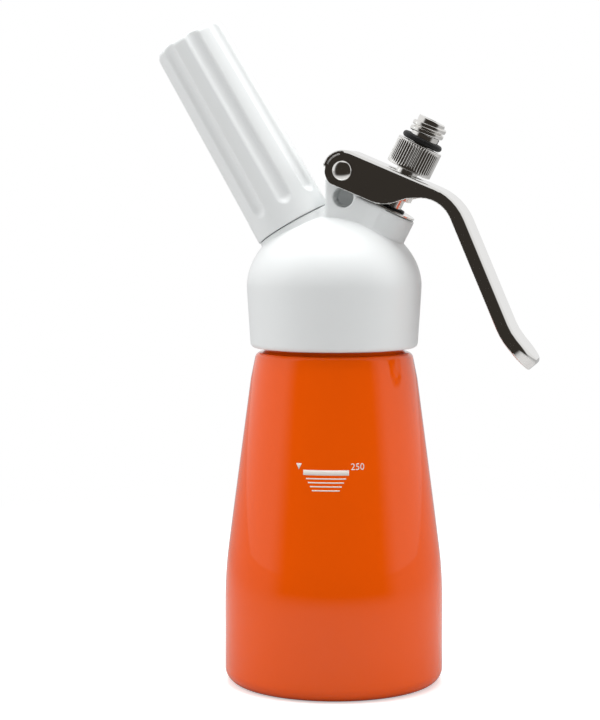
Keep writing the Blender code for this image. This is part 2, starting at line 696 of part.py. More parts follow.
def make_lever():
    """Pressed sheet lever: a channel with deep cheeks at the pivot, a bend and a slimmer grip."""
    lever = prism("lever", lever_side(0, False), cheek_outside, chromed_steel, lever_frame)
    edges = lever.modifiers.new("pressed_edges", "BEVEL")
    edges.width = lever_edge_round
    edges.segments = edge_segments
    edges.limit_method = "ANGLE"
    edges.angle_limit = crease_angle
    tip = lever_back(0)[-1][0]
    tip_heading = kick_angle - bend_angle
    length = 2 * (plate_length + grip_length + tip_length)
    for name, inset, operation in (("tip_plan", 0, "INTERSECT"),
                                   ("lever_hollow", lever_sheet, "DIFFERENCE")):
        half = cheek_outside - inset
        round_radius = tip_round - inset
        plan = [((-length, -half), 0), ((-inset, -half), round_radius), ((-inset, half), round_radius)]
        plan += [((-length, half), 0)]
        plan_frame = lever_frame @ Matrix.Translation((*tip, 0)) @ Matrix.Rotation(tip_heading, 4, "Z")
        plan_frame = plan_frame @ Matrix.Rotation(-math.pi / 2, 4, "X")
        plan_tool = prism(name + "_outline", rounded(plan), 2 * length, frame=plan_frame)
        if inset:
            tool = prism(name, lever_side(inset, True), half, frame=lever_frame)
            boolean(tool, plan_tool, "INTERSECT")
            boolean(lever, tool, operation)
        else:
            boolean(lever, plan_tool, operation)
    cut(lever, prism("cheek_trim", cheek_edge(), cheek_outside + cut_overrun, frame=lever_frame))
    plate_under = lever_end_radius - lever_sheet
    crossing = lever_arm / math.cos(plate_lean) + plate_under * math.tan(plate_lean)
    slot_half = stem_radius + slot_side_gap
    slot_end = slot_length / 2
    slot = [((0, -slot_half), 0), ((slot_end, -slot_half), slot_half)]
    slot += [((slot_end, slot_half), slot_half), ((-slot_end, slot_half), slot_half)]
    slot += [((-slot_end, -slot_half), slot_half), ((0, -slot_half), 0)]
    slot_frame = lever_frame @ Matrix.Translation((crossing, lever_end_radius, 0))
    slot_frame = slot_frame @ Matrix.Rotation(-math.pi / 2, 4, "X")
    cut(lever, prism("stem_slot", rounded(slot)[:-1], lever_end_radius / 2, frame=slot_frame))
    reach = cheek_outside + cut_overrun
    cut(lever, cross_bore("lever_pin_hole", pin_radius + fit_gap, pivot, -reach, reach))


def make_lever_pin():
    """Rivet through both cheeks and the head's lug, with a domed head at each end."""
    seat = cheek_outside + fit_gap
    domed = [(x * pin_head_radius, seat + y * pin_head_height) for x, y in arc(1, math.pi / 2, 0)]
    domed[0] = (0, seat + pin_head_height)
    upper = domed + [(pin_radius, seat)]
    lower = [(radius, -height) for radius, height in upper[::-1]]
    turned("lever_pin", upper + lower, small_steps, nickel, Matrix.Translation(pivot) @ side_view)


def make_adapter():
    """Knurled ring with a threaded spigot for the decorating tips, screwed on the stem."""
    bore_top = stem_top + fit_gap
    edge_z = spigot_top - spigot_chamfer
    profile = [(spigot_bore_radius + spigot_chamfer, spigot_top)]
    profile += [(spigot_radius - spigot_chamfer, spigot_top)]
    profile += [(spigot_radius, edge_z), (spigot_radius, adapter_top)]
    profile += [(knurl_radius - knurl_depth, adapter_top)]
    profile += [(knurl_radius - knurl_depth, adapter_foot), (stem_fit_radius, adapter_foot)]
    profile += [(stem_fit_radius, bore_top), (spigot_bore_radius, bore_top)]
    profile += [(spigot_bore_radius, edge_z)]
    adapter = turned("tip_adapter", profile, medium_steps, nickel, valve_frame, closed=True)
    outline = []
    for i in range(2 * knurl_count):
        radius = knurl_radius - knurl_depth * (i % 2)
        angle = math.pi * i / knurl_count
        outline.append((radius * math.cos(angle), radius * math.sin(angle)))
    middle = valve_frame @ Matrix.Translation((0, 0, adapter_foot + knurl_height / 2))
    knurl = prism("knurl", outline, knurl_height / 2 - knurl_rim, frame=middle)
    hole = disc("knurl_hole", (knurl_radius + stem_radius) / 2, -knurl_height, knurl_height, medium_steps,
                frame=middle)
    cut(knurl, hole)
    join(adapter, knurl)
    wire = tip_thread_width
    foot = adapter_top + 2 * seal_ring_radius + fit_gap + wire / 2
    turns = (edge_z - wire / 2 - foot) / tip_thread_pitch
    thread = helix("tip_thread", tip_thread_radius - wire / 2, tip_thread_pitch, turns, foot, wire,
                   tip_thread_points, frame=valve_frame)
    join(adapter, thread)
    seal_centre = (spigot_radius + seal_ring_stretch + seal_ring_radius,
                   adapter_top + fit_gap + seal_ring_radius)
    section = arc(seal_ring_radius, math.pi, -math.pi, seal_centre)
    turned("adapter_seal_ring", section[:-1:2], medium_steps, black_rubber, valve_frame, closed=True)


def make_charger_holder():
    """Fluted plastic holder, open at its rim, with a threaded metal ring and a soft pad inside."""
    bore = charger_radius + charger_play
    socket = holder_rim_radius - socket_wall
    top_centre = (holder_top_radius - holder_top_round, holder_length - holder_top_round)
    profile = [(0, holder_length)] + arc(holder_top_round, math.pi / 2, 0, top_centre)
    profile += [(holder_rim_radius, holder_rim_round), (holder_rim_radius - holder_rim_round, 0)]
    profile += [(socket, 0), (socket, socket_depth), (bore, socket_depth)]
    profile += [(bore, holder_inner_top), (0, holder_inner_top)]
    holder = turned("charger_holder", profile, large_steps, white_plastic, holder_frame)
    cut(holder, flute_cutters())
    ring("holder_thread_ring", holder_sleeve_radius, holder_sleeve_radius - holder_sleeve_wall, fit_gap,
         socket_depth - fit_gap, medium_steps, nickel, holder_frame)
    pad_top = holder_inner_top - fit_gap
    disc("charger_pad", bore - fit_gap, pad_top - pad_thickness, pad_top, medium_steps, silicone,
         holder_frame)


def flute_cutters():
    """Round-nosed rods around the holder, each lying along its slightly tapered side."""
    radius = (flute_depth ** 2 + (flute_width / 2) ** 2) / (2 * flute_depth)
    taper = math.atan2(holder_rim_radius - holder_top_radius, holder_length)
    nose = [(radius * math.cos(a), -radius * math.sin(a)) for a in (0, math.pi / 6, math.pi / 3)]
    profile = [(0, holder_length), (radius, holder_length)] + nose + [(0, -radius)]
    rods = turned("flutes", profile, small_steps)
    mesh = bpy.data.meshes.new_from_object(rods.evaluated_get(bpy.context.evaluated_depsgraph_get()))
    bpy.data.objects.remove(rods, do_unlink=True)
    shape = bmesh.new()
    lean = Matrix.Rotation(-taper, 4, "Y")
    rod_x = holder_rim_radius + radius - flute_depth
    out = Matrix.Translation((rod_x, 0, flute_start + flute_width / 2))
    for i in range(flute_count):
        start = len(shape.verts)
        shape.from_mesh(mesh)
        shape.verts.ensure_lookup_table()
        turn = Matrix.Rotation(2 * math.pi * i / flute_count + flute_turn, 4, "Z")
        bmesh.ops.transform(shape, matrix=turn @ out @ lean, verts=shape.verts[start:])
    shape.to_mesh(mesh)
    shape.free()
    return place("flute_rods", mesh, frame=holder_frame)


def make_charger_stud():
    """Threaded metal stud in the head's boss, with its piercing pin, seal, nut and gas valve."""
    profile = [(stud_crest_radius, stud_top), (stud_crest_radius, stud_flange_top)]
    profile += [(stud_flange_radius, stud_flange_top), (stud_flange_radius, stud_flange_foot)]
    profile += [(stud_body_radius, stud_flange_foot), (stud_body_radius, stud_body_foot)]
    profile += [(stud_tail_radius, stud_body_foot), (stud_tail_radius, stud_foot)]
    profile += [(gas_passage_radius, stud_foot), (gas_passage_radius, stud_seat)]
    profile += [(charger_neck_radius, stud_seat), (charger_neck_radius, stud_top)]
    turned("charger_stud", profile, medium_steps, nickel, holder_frame, closed=True)
    pin_foot = stud_seat + fit_gap
    pin_top = pin_foot + pin_body_height
    body = charger_neck_radius - fit_gap
    pin = [(0, pin_top + needle_length), (needle_radius, pin_top + needle_length - 2 * needle_radius)]
    pin += [(needle_radius, pin_top), (body, pin_top), (body, pin_foot), (0, pin_foot)]
    turned("piercing_pin", pin, small_steps, nickel, holder_frame)
    seal_foot = pin_top + fit_gap
    ring("charger_seal", body, needle_radius + fit_gap, seal_foot, seal_foot + stud_seal_height,
         small_steps, black_rubber, holder_frame)
    nut("stud_nut", stud_nut_flats, stud_nut_foot, stud_nut_height, stud_tail_radius + fit_gap,
        nut_chamfer, holder_frame)
    disc("gas_check_valve", check_valve_radius, check_valve_top - check_valve_height, check_valve_top,
         small_steps, black_rubber, holder_frame)


def shade_smooth():
    """Shade the round pieces smooth between their sharp edges."""
    for thing in pieces.objects:
        thing.data.shade_smooth()
        thing.data.set_sharp_from_angle(angle=smooth_angle)


def print_places():
    """Print the places and directions that the joints turn and slide on."""
    for name, frame in (("valve axis", valve_frame), ("holder axis", holder_frame)):
        origin = frame.translation
        direction = frame.to_3x3() @ Vector((0, 0, 1))
        print(name, [round(value, 6) for value in (*origin, *direction)])
    tip_face = valve_frame @ Vector(((spigot_bore_radius + spigot_radius) / 2, 0, spigot_top))
    for name, point in (("lever pivot", pivot), ("tip face", tip_face)):
        print(name, [round(value, 6) for value in point])


make_bottle()
make_head()
make_head_gasket()
make_valve_sleeve()
make_valve_stem()
make_valve_spring()
nut("press_nut", nut_flats, nut_foot, nut_height, stem_fit_radius, nut_chamfer, valve_frame)
make_lever()
make_lever_pin()
make_adapter()
make_charger_holder()
make_charger_stud()
shade_smooth()
print_places()
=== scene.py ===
"""Studio view of a quarter-litre whipped cream dispenser: fine pieces, finishes, light and camera.

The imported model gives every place. Lengths are in metres, +Z is up, +X points to the lever and -Y to the
front. Each operator makes one piece, or one group of like pieces, over the solid that it stands for.
"""
import json
import math

import bmesh
import bpy
import numpy as np
from bpy.props import FloatProperty, FloatVectorProperty, IntProperty, PointerProperty, StringProperty
from bpy.types import Operator, Panel, PropertyGroup
from mathutils import Matrix, Vector

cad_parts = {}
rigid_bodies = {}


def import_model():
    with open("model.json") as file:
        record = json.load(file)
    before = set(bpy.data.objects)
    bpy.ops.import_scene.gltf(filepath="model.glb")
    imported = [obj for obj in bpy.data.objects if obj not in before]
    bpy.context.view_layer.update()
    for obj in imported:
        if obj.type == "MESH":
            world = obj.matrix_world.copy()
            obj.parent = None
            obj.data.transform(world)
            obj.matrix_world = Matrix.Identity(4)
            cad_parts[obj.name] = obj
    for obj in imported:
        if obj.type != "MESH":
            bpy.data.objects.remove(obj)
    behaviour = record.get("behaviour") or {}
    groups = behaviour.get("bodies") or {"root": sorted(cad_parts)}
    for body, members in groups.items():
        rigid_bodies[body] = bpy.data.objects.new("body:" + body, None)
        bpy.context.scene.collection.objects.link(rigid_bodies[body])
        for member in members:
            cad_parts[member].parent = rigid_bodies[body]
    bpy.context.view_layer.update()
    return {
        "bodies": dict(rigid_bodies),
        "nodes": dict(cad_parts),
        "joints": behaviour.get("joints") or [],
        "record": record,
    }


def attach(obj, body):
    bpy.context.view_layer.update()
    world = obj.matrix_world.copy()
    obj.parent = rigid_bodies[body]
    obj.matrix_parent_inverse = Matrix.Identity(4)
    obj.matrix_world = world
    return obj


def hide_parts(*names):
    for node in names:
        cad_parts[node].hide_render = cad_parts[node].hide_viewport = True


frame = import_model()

bl_info = {
    "name": "Whipped cream dispenser",
    "version": (1, 0, 0),
    "blender": (4, 5, 0),
    "location": "3D View > Sidebar > Dispenser",
    "description": "Makes a whipped cream dispenser with its head, valve, lever, charger holder and studio",
    "category": "Object",
}

mm = 0.001
weld_distance = 0.001 * mm
joints = {joint["name"]: joint for joint in frame["joints"]}

# Fineness of the meshes
turn_steps = 144
small_turn_steps = 96
arc_step = math.radians(7.5)
arc_chord = 2.5 * mm
edge_segments = 3
smooth_angle = math.radians(32)

# Least slope that a distance to a surface is divided by
flattest = 0.1


def screw_place(joint_name):
    """A screw joint's place: local Z along its axis, local Y along the frame's."""
    joint = joints[joint_name]
    axis = Vector(joint["axis"]).normalized()
    across = Vector((0, 1, 0)).cross(axis)
    turn = Matrix((across, (0, 1, 0), axis)).transposed().to_4x4()
    return Matrix.Translation(joint["pos_m"]) @ turn


upright = Matrix()
valve = screw_place("adapter_turn")
holder = screw_place("holder_turn")
pivot = Vector(joints["lever_press"]["pos_m"])
side_view = Matrix.Rotation(math.pi / 2, 4, "X")

# Solids that are round about an axis, each with the place whose Z is that axis
round_solids = {
    "head_gasket": upright,
    "valve_sleeve": valve,
    "stem_seal_ring": valve,
    "wiper_ring": valve,
    "valve_stem": valve,
    "valve_seal": valve,
    "spring_plug": valve,
    "holder_thread_ring": holder,
    "charger_pad": holder,
    "charger_stud": holder,
    "piercing_pin": holder,
    "charger_seal": holder,
    "gas_check_valve": holder,
}


def span(node, place):
    """A solid's lowest and highest point along a place's Z, and its least and greatest radius about it."""
    inward = place.inverted()
    points = [inward @ vertex.co for vertex in frame["nodes"][node].data.vertices]
    heights = [point.z for point in points]
    radii = [math.hypot(point.x, point.y) for point in points]
    return min(heights), max(heights), min(radii), max(radii)


def body_of(name):
    """The body that a solid belongs to."""
    carrier = frame["nodes"][name].parent
    return next(body for body, empty in frame["bodies"].items() if empty == carrier)


def length(name, default, description):
    """A size in metres, given in millimetres."""
    return FloatProperty(name=name, default=default * mm, description=description, min=0.0, precision=4,
                         subtype="DISTANCE", unit="LENGTH")


def spot(name, default, description):
    """A place in metres, given in millimetres."""
    return FloatVectorProperty(name=name, default=[part * mm for part in default], description=description,
                               size=3, precision=4, subtype="TRANSLATION", unit="LENGTH")


def angle(name, default, description):
    """An angle, given in degrees."""
    return FloatProperty(name=name, default=math.radians(default), description=description,
                         subtype="ANGLE", unit="ROTATION")


def tint(name, default, description):
    """A linear colour."""
    return FloatVectorProperty(name=name, default=default, description=description, size=3, min=0.0,
                               max=1.0, subtype="COLOR")


def share(name, default, description):
    """A number from zero to one."""
    return FloatProperty(name=name, default=default, description=description, min=0.0, max=1.0,
                         subtype="FACTOR")


def strength(name, default, description):
    """A plain number from zero up."""
    return FloatProperty(name=name, default=default, description=description, min=0.0)


def power(name, default, description):
    """A lamp's power in watts."""
    return FloatProperty(name=name, default=default, description=description, min=0.0, unit="POWER")


def count(name, default, description):
    """A number of like things."""
    return IntProperty(name=name, default=default, description=description, min=1)


# Sizes, colours and powers
class DispenserBottle(PropertyGroup):
    """Sizes of the bottle"""
    radius: length("Radius", 37.0, "Radius of the straight foot")
    wall: length("Wall", 1.4, "Thickness of the drawn wall")
    base_round: length("Base round", 5.0, "Radius of the rounded base edge")
    straight_height: length("Straight height", 37.0, "Height where the cone starts")
    foot_blend: length("Foot blend", 150.0, "Radius of the soft bend between the foot and the cone")
    cone_height: length("Cone height", 66.5, "Height of the long cone")
    cone_top_radius: length("Cone top radius", 28.1, "Radius where the shoulder starts")
    shoulder_height: length("Shoulder height", 6.6, "Height of the steeper cone under the shoulder")
    shoulder_radius: length("Shoulder radius", 26.3, "Radius at the rounded shoulder")
    shoulder_round: length("Shoulder round", 2.2, "Radius of the rounded shoulder")
    neck_radius: length("Neck radius", 23.4, "Radius of the neck at the thread's root")
    neck_round: length("Neck round", 1.2, "Radius of the groove where the neck starts")
    rim_round: length("Rim round", 0.5, "Radius of the mouth's edges")
    thread_pitch: length("Thread pitch", 3.5, "Rise of the neck thread in one turn")
    thread_height: length("Thread height", 0.9, "How far the thread stands out of the neck")
    thread_width: length("Thread width", 2.2, "Width of the thread at its root")
    thread_drop: length("Thread drop", 3.0, "From the rim down to the thread's top")


class DispenserPrint(PropertyGroup):
    """Sizes of the fill mark"""
    turn: angle("Turn", 6.3, "Where the print is centred, from the front towards the lever")
    height: length("Height", 75.1, "Height of the thick bar's middle")
    bar_width: length("Bar width", 15.1, "Width of the thick bar")
    bar_height: length("Bar height", 1.7, "Height of the thick bar")
    line_height: length("Line height", 0.4, "Height of a thin line")
    line_step: length("Line step", 1.27, "Distance between thin lines")
    first_line: length("First line", 1.95, "From the thick bar's middle to the first thin line")
    first_width: length("First width", 13.2, "Width of the first thin line")
    width_step: length("Width step", 1.38, "How much narrower each thin line is")
    lines: count("Lines", 4, "How many thin lines there are")
    number: StringProperty(name="Number", default="250", description="Plain number beside the bar")
    number_height: length("Number height", 2.2, "Size of the number")
    number_gap: length("Number gap", 0.5, "Between the bar's end and the number")
    number_rise: length("Number rise", 0.9, "From the bar's middle up to the number's foot")
    pointer_width: length("Pointer width", 2.0, "Width of the pointer at the bar's other end")
    ink: length("Ink", 0.04, "Thickness of the printed layer")


class DispenserHead(PropertyGroup):
    """Sizes of the head"""
    radius: length("Radius", 29.4, "Radius where the dome starts")
    foot_radius: length("Foot radius", 28.1, "Radius at the skirt's foot")
    foot_round: length("Foot round", 1.6, "Radius of the skirt's lower edge")
    dome_foot: length("Dome foot", 135.0, "Height where the dome starts")
    dome_rise: length("Dome rise", 24.0, "Height of the dome")
    dome_power: strength("Dome power", 1.88, "Fullness of the dome's curve, 2 for an ellipse")
    bore_radius: length("Bore radius", 24.6, "Radius of the space for the bottle's neck")
    ceiling: length("Ceiling", 131.7, "Height of the ledge over the gasket")
    recess_radius: length("Recess radius", 16.5, "Radius of the recess above the mouth")
    recess_top: length("Recess top", 138.9, "Height of the recess")
    waist_round: length("Waist round", 2.0, "How softly the skirt starts to narrow under the dome")
    neck_radius: length("Neck radius", 9.6, "Radius of the valve neck")
    neck_round: length("Neck round", 0.7, "Rounding of the valve neck's edge")
    valve_bore: length("Valve bore", 6.5, "Radius of the bore for the valve sleeve")
    valve_bore_depth: length("Valve bore depth", 27.2, "Depth of the bore for the valve sleeve")
    block_width: length("Block width", 19.0, "Width of the saddle block")
    block_back: length("Block back", 6.2, "From the pivot to the block's back face")
    block_step: length("Block step", 2.7, "From the pivot down to the block's back corner")
    lug_radius: length("Lug radius", 5.1, "Radius of the lug inside the lever")
    block_round: length("Block round", 1.1, "Rounding of the block's edges")
    relief_radius: length("Relief radius", 3.45, "Radius of the hole under the pivot")
    relief_drop: length("Relief drop", 8.7, "From the pivot down to that hole")
    relief_web: length("Relief web", 3.0, "Plastic left between the two blind holes")
    pin_bore: length("Pin bore", 2.3, "Radius of the bore for the rivet")
    boss_radius: length("Boss radius", 13.1, "Radius of the charger boss")
    boss_joint: length("Boss joint", 0.15, "Open line between the boss and the holder")
    boss_round: length("Boss round", 0.5, "Rounding of the boss's edge")
    pocket_radius: length("Pocket radius", 11.3, "Radius of the stud's pocket")
    pocket_depth: length("Pocket depth", 3.2, "Depth of the stud's pocket")
    body_bore: length("Body bore", 6.8, "Radius of the bore for the stud's body")
    body_floor: length("Body floor", 8.9, "From the holder's rim down to the foot of that bore")
    tail_bore: length("Tail bore", 4.8, "Radius of the bore for the stud's tail")
    spot_radius: length("Spot radius", 7.2, "Radius of the face for the stud's nut")
    spot_depth: length("Spot depth", 16.5, "From the holder's rim down to that face")
    dome_fillet: length("Dome fillet", 0.3, "Fillet between the dome and what grows out of it")
    boss_fillet: length("Boss fillet", 3.5, "Fillet between the boss and the block")
    relief_round: length("Relief round", 0.45, "Rounding of the edge of the hole under the pivot")
    cut_round: length("Cut round", 0.25, "Rounding of the edges of bores")
    grain: length("Grain", 0.5, "Width of a mesh face")


class DispenserHolder(PropertyGroup):
    """Sizes of the charger holder"""
    height: length("Height", 72.4, "From the rim to the closed end")
    rim_radius: length("Rim radius", 13.4, "Radius at the rim")
    top_radius: length("Top radius", 12.4, "Radius at the closed end")
    top_round: length("Top round", 2.0, "Rounding of the closed end")
    rim_round: length("Rim round", 0.35, "Rounding of the rim")
    roof: length("Roof", 3.4, "Thickness of the closed end")
    bore: length("Bore", 9.5, "Radius of the charger's room")
    socket: length("Socket", 11.3, "Radius of the room for the threaded ring")
    socket_depth: length("Socket depth", 9.6, "Depth of the room for the threaded ring")
    flutes: count("Flutes", 8, "How many flutes there are")
    flute_width: length("Flute width", 5.4, "Width of a flute")
    flute_depth: length("Flute depth", 1.25, "Depth of a flute")
    flute_start: length("Flute start", 6.5, "From the rim up to the flutes' ends")
    flute_turn: angle("Flute turn", -71.5, "Turn of the flute that faces the front")
    flute_round: length("Flute round", 0.5, "Rounding of the flutes' edges")
    rings: count("Rings", 150, "Rows of mesh faces along the side")
    steps: count("Steps", 288, "Mesh faces around the side")


class DispenserLever(PropertyGroup):
    """Sizes of the lever"""
    slope: angle("Slope", 22.9, "How far the plate leans at rest")
    sheet: length("Sheet", 1.4, "Thickness of the sheet")
    end_radius: length("End radius", 6.8, "Radius of the folded end round the pivot")
    lip: length("Lip", 1.2, "How far the folded end runs past the pivot's level")
    cheek_end: length("Cheek end", 6.0, "Radius of the cheeks round the pivot, under the folded end")
    edge_round: length("Edge round", 1.8, "Outer rounding of the long edges")
    fold_round: length("Fold round", 0.3, "Outer rounding of the folded end's edges")
    fold_reach: length("Fold reach", 2.4, "From above the pivot back to where the folded end starts")
    half_width: length("Half width", 11.3, "From the middle to the outside of a cheek")
    plate_length: length("Plate length", 30.15, "From above the pivot to the bend")
    bend_radius: length("Bend radius", 20.0, "Radius of the bend")
    bend_angle: angle("Bend angle", 44.1, "Angle of the bend")
    grip_length: length("Grip length", 37.1, "Straight length of the grip")
    kick_radius: length("Kick radius", 20.0, "Radius of the kick before the tip")
    kick_angle: angle("Kick angle", 17.0, "Angle of the kick before the tip")
    tip_length: length("Tip length", 9.7, "Straight length of the tip")
    tip_round: length("Tip round", 8.0, "Radius of the tip's corners")
    cheek_length: length("Cheek length", 17.2, "From the pivot to the cheek's lowest corner")
    cheek_foot: length("Cheek foot", 5.65, "From the pivot down to the cheek's edge")
    cheek_rise: length("Cheek rise", 8.55, "Length of the cheek's rising edge")
    cheek_rise_angle: angle("Cheek rise angle", 42.0, "Slope of the rising edge")
    cheek_run_angle: angle("Cheek run angle", 23.0, "Slope of the edge after it")
    foot_fillet: length("Foot fillet", 11.9, "Radius of the cheek's lowest corner")
    top_fillet: length("Top fillet", 10.0, "Radius where the rising edge ends")
    bend_fillet: length("Bend fillet", 11.0, "Radius of the cheek's edge at the bend")
    flange_depth: length("Flange depth", 4.55, "Depth of the grip's turned-down sides")
    slot_length: length("Slot length", 13.0, "Length of the slot for the stem")
    slot_half: length("Slot half width", 4.2, "Half the width of the slot")
    slot_place: length("Slot place", 18.39, "From the pivot along the plate to the slot's middle")
    pin_hole: length("Pin hole", 2.3, "Radius of the rivet's hole")
    seam_radius: length("Seam radius", 5.4, "Radius of the seam where the end is folded over the cheeks")
    seam_round: length("Seam width", 0.12, "Half the width of that seam")
    cut_round: length("Cut round", 0.16, "Rounding of the sheet's cut edges")
    grain: length("Grain", 0.32, "Width of a mesh face")


class DispenserValve(PropertyGroup):
    """Sizes of the valve, the nuts, the stud and the tip adapter"""
    pin_radius: length("Rivet radius", 2.0, "Radius of the rivet's shank")
    pin_head: length("Rivet head", 3.3, "Radius of the rivet's heads")
    pin_head_height: length("Rivet head height", 1.3, "Height of the rivet's heads")
    nut_flats: length("Nut flats", 10.0, "Distance across the nut's flats")
    stud_nut_flats: length("Inner nut flats", 11.4, "Distance across the flats of the charger stud's nut")
    spring_wire: length("Spring wire", 0.8, "Thickness of the spring's wire")
    spring_curls: count("Spring curls", 4, "How many curls the spring has")
    nut_chamfer: length("Nut chamfer", 0.55, "Chamfer of the nut's corners")
    edge: length("Edge", 0.12, "Rounding of machined edges")
    knurl_count: count("Knurl ribs", 48, "Ribs round the knurled ring")
    knurl_depth: length("Knurl depth", 0.3, "Depth between the ribs")
    knurl_rim: length("Knurl rim", 0.7, "Height of the plain rims")
    knurl_radius: length("Knurl radius", 7.8, "Radius of the knurled ring")
    knurl_height: length("Knurl height", 9.2, "Height of the knurled ring")
    spigot_radius: length("Spigot radius", 4.7, "Radius of the spigot under its thread")
    spigot_bore: length("Spigot bore", 2.6, "Radius of the spigot's bore")
    spigot_edge: length("Spigot edge", 0.5, "Rounding of the spigot's end")
    tip_thread_radius: length("Tip thread radius", 5.75, "Radius over the tip thread")
    tip_thread_pitch: length("Tip thread pitch", 2.0, "Rise of the tip thread in one turn")
    tip_thread_width: length("Tip thread width", 1.85, "Width of the tip thread at its root")
    ring_section: length("Ring section", 1.05, "Radius of the black ring's section")
    charger_thread_pitch: length("Charger thread pitch", 1.5, "Rise of the charger stud's thread")
    charger_thread_depth: length("Charger thread depth", 0.6, "Depth of the charger stud's thread")


class DispenserFinish(PropertyGroup):
    """Colours of the finishes"""
    enamel: tint("Enamel", (0.88, 0.099, 0.0005), "The bottle's orange")
    enamel_deep: tint("Deep enamel", (0.86, 0.094, 0.0004), "The orange where the coat is thicker")
    print_ink: tint("Print", (0.86, 0.80, 0.74), "The fill mark's white")
    plastic: tint("Plastic", (0.815, 0.835, 0.835), "The head's and holder's white")
    nickel: tint("Nickel", (0.90, 0.885, 0.86), "The plated small parts")
    chrome: tint("Chrome", (0.87, 0.86, 0.84), "The plated lever")
    aluminium: tint("Aluminium", (0.66, 0.66, 0.66), "The bare neck and inside of the bottle")
    rubber: tint("Rubber", (0.009, 0.009, 0.009), "The black seals")
    silicone: tint("Silicone", (0.62, 0.63, 0.62), "The gasket and the charger pad")
    steel: tint("Steel", (0.46, 0.46, 0.47), "The spring and the piercing pin")


class DispenserStage(PropertyGroup):
    """Sizes, places and light of the studio"""
    paper: tint("Paper", (0.86, 0.86, 0.86), "The floor near the object, and the colour of the even light")
    bounce: tint("Bounce", (0.55, 0.55, 0.55), "The floor as it lights the object from below")
    fill: strength("Fill", 0.64, "Even light from all round")
    mirrored: strength("Mirrored white", 0.85, "How bright the surroundings look in gloss")
    mirrored_floor: strength("Mirrored floor", 0.5, "How bright the far floor looks in gloss")
    glow: strength("Glow", 0.45, "How much brighter the camera sees the floor near the object")
    glow_start: length("Glow start", 120.0, "Where the floor starts to turn to plain white")
    glow_end: length("Glow end", 450.0, "Where the floor is plain white")
    floor_radius: length("Floor radius", 6000.0, "Radius of the floor")
    key_power: power("Key lamp", 4.0, "Lamp high on the left")
    key_place: spot("Key lamp place", (-900.0, -350.0, 650.0), "Where the key lamp stands")
    side_power: power("Side lamp", 2.7, "Lamp on the right")
    side_place: spot("Side lamp place", (950.0, -100.0, 400.0), "Where the side lamp stands")
    top_power: power("Top lamp", 7.3, "Lamp above the object")
    top_place: spot("Top lamp place", (0.0, 50.0, 950.0), "Where the top lamp hangs")
    lamp_width: length("Lamp width", 600.0, "Width of a lamp")
    lamp_aim: length("Lamp aim", 110.0, "Height on the bottle's axis that the lamps point at")
    card: tint("Card", (0.036, 0.031, 0.026), "The dark card round the camera, which only gloss sees")
    card_radius: length("Card radius", 1100.0, "Distance from the bottle's axis to the upright card")
    card_top: length("Card top", 2200.0, "Height of the card")
    card_near: length("Card near", 200.0, "Where the card's part on the floor starts to darken")
    card_full: length("Card full", 500.0, "Where it is fully dark")
    card_half: angle("Card half angle", 75.0, "From the card's middle to its clear edge")
    card_soft: angle("Card soft edge", 25.0, "Width of that soft edge")
    camera_turn: angle("Camera turn", 11.0, "Where the camera stands, from the front towards the lever")
    camera_pitch: angle("Camera pitch", 4.43556, "How far the camera looks down")
    camera_distance: length("Camera distance", 721.0, "From the bottle's axis out to the camera")
    camera_height: length("Camera height", 165.3158, "Height of the camera")
    frame_height: strength("Frame height", 720.0, "Height of the frame, in pixels")
    focal_pixels: strength("Focal length", 2140.0, "Focal length, in pixels")
    axis_offset: strength("Axis offset", 34.3, "From the frame's middle to the bottle's axis, in pixels")


size_groups = {
    "dispenser_bottle": DispenserBottle,
    "dispenser_print": DispenserPrint,
    "dispenser_head": DispenserHead,
    "dispenser_holder": DispenserHolder,
    "dispenser_lever": DispenserLever,
    "dispenser_valve": DispenserValve,
    "dispenser_finish": DispenserFinish,
    "dispenser_stage": DispenserStage,
}


# Outlines in a plane
def arc(radius, start, end, centre=(0, 0)):
    """Points on an arc, both ends included."""
    steps = max(2, round(abs(end - start) / arc_step), round(radius * abs(end - start) / arc_chord))
    turns = [start + (end - start) * i / steps for i in range(steps + 1)]
    return [(centre[0] + radius * math.cos(turn), centre[1] + radius * math.sin(turn)) for turn in turns]


def fillet(before, corner, after, reach):
    """Points of the arc that rounds a corner, touching both sides at a distance from it."""
    back = (Vector(before) - Vector(corner)).normalized()
    onward = (Vector(after) - Vector(corner)).normalized()
    half = back.angle(onward) / 2
    radius = reach * math.tan(half)
    centre = Vector(corner) + (back + onward).normalized() * (reach / math.cos(half))
    start = Vector(corner) + back * reach - centre
    end = Vector(corner) + onward * reach - centre
    first = math.atan2(start.y, start.x)
    swing = math.remainder(math.atan2(end.y, end.x) - first, 2 * math.pi)
    return arc(radius, first, first + swing, centre)


def rounded(corners, closed=False):
    """An outline from (x, y) and (x, y, radius) corners. Arcs shrink where two share too short a side."""
    points = [Vector(corner[:2]) for corner in corners]
    number = len(points)
    whole_side = 0.999
    reaches = []
    for i, corner in enumerate(corners):
        reach = 0.0
        if len(corner) == 3 and (closed or 0 < i < number - 1):
            back = points[i - 1] - points[i]
            onward = points[(i + 1) % number] - points[i]
            reach = corner[2] / math.tan(back.angle(onward) / 2)
        reaches.append(reach)
    fits = [1.0] * number
    for i in range(number if closed else number - 1):
        j = (i + 1) % number
        wanted = reaches[i] + reaches[j]
        room = (points[j] - points[i]).length * whole_side
        fit = min(1.0, room / wanted) if wanted else 1.0
        fits[i] = min(fits[i], fit)
        fits[j] = min(fits[j], fit)
    outline = []
    for i, point in enumerate(points):
        if reaches[i]:
            outline += fillet(points[i - 1], point, points[(i + 1) % number], reaches[i] * fits[i])
        else:
            outline.append(tuple(point))
    return outline


def circle(radius, centre=(0, 0), sides=48):
    """Corners of a round or many-sided section."""
    turns = [2 * math.pi * i / sides for i in range(sides)]
    return [(centre[0] + radius * math.cos(turn), centre[1] + radius * math.sin(turn)) for turn in turns]


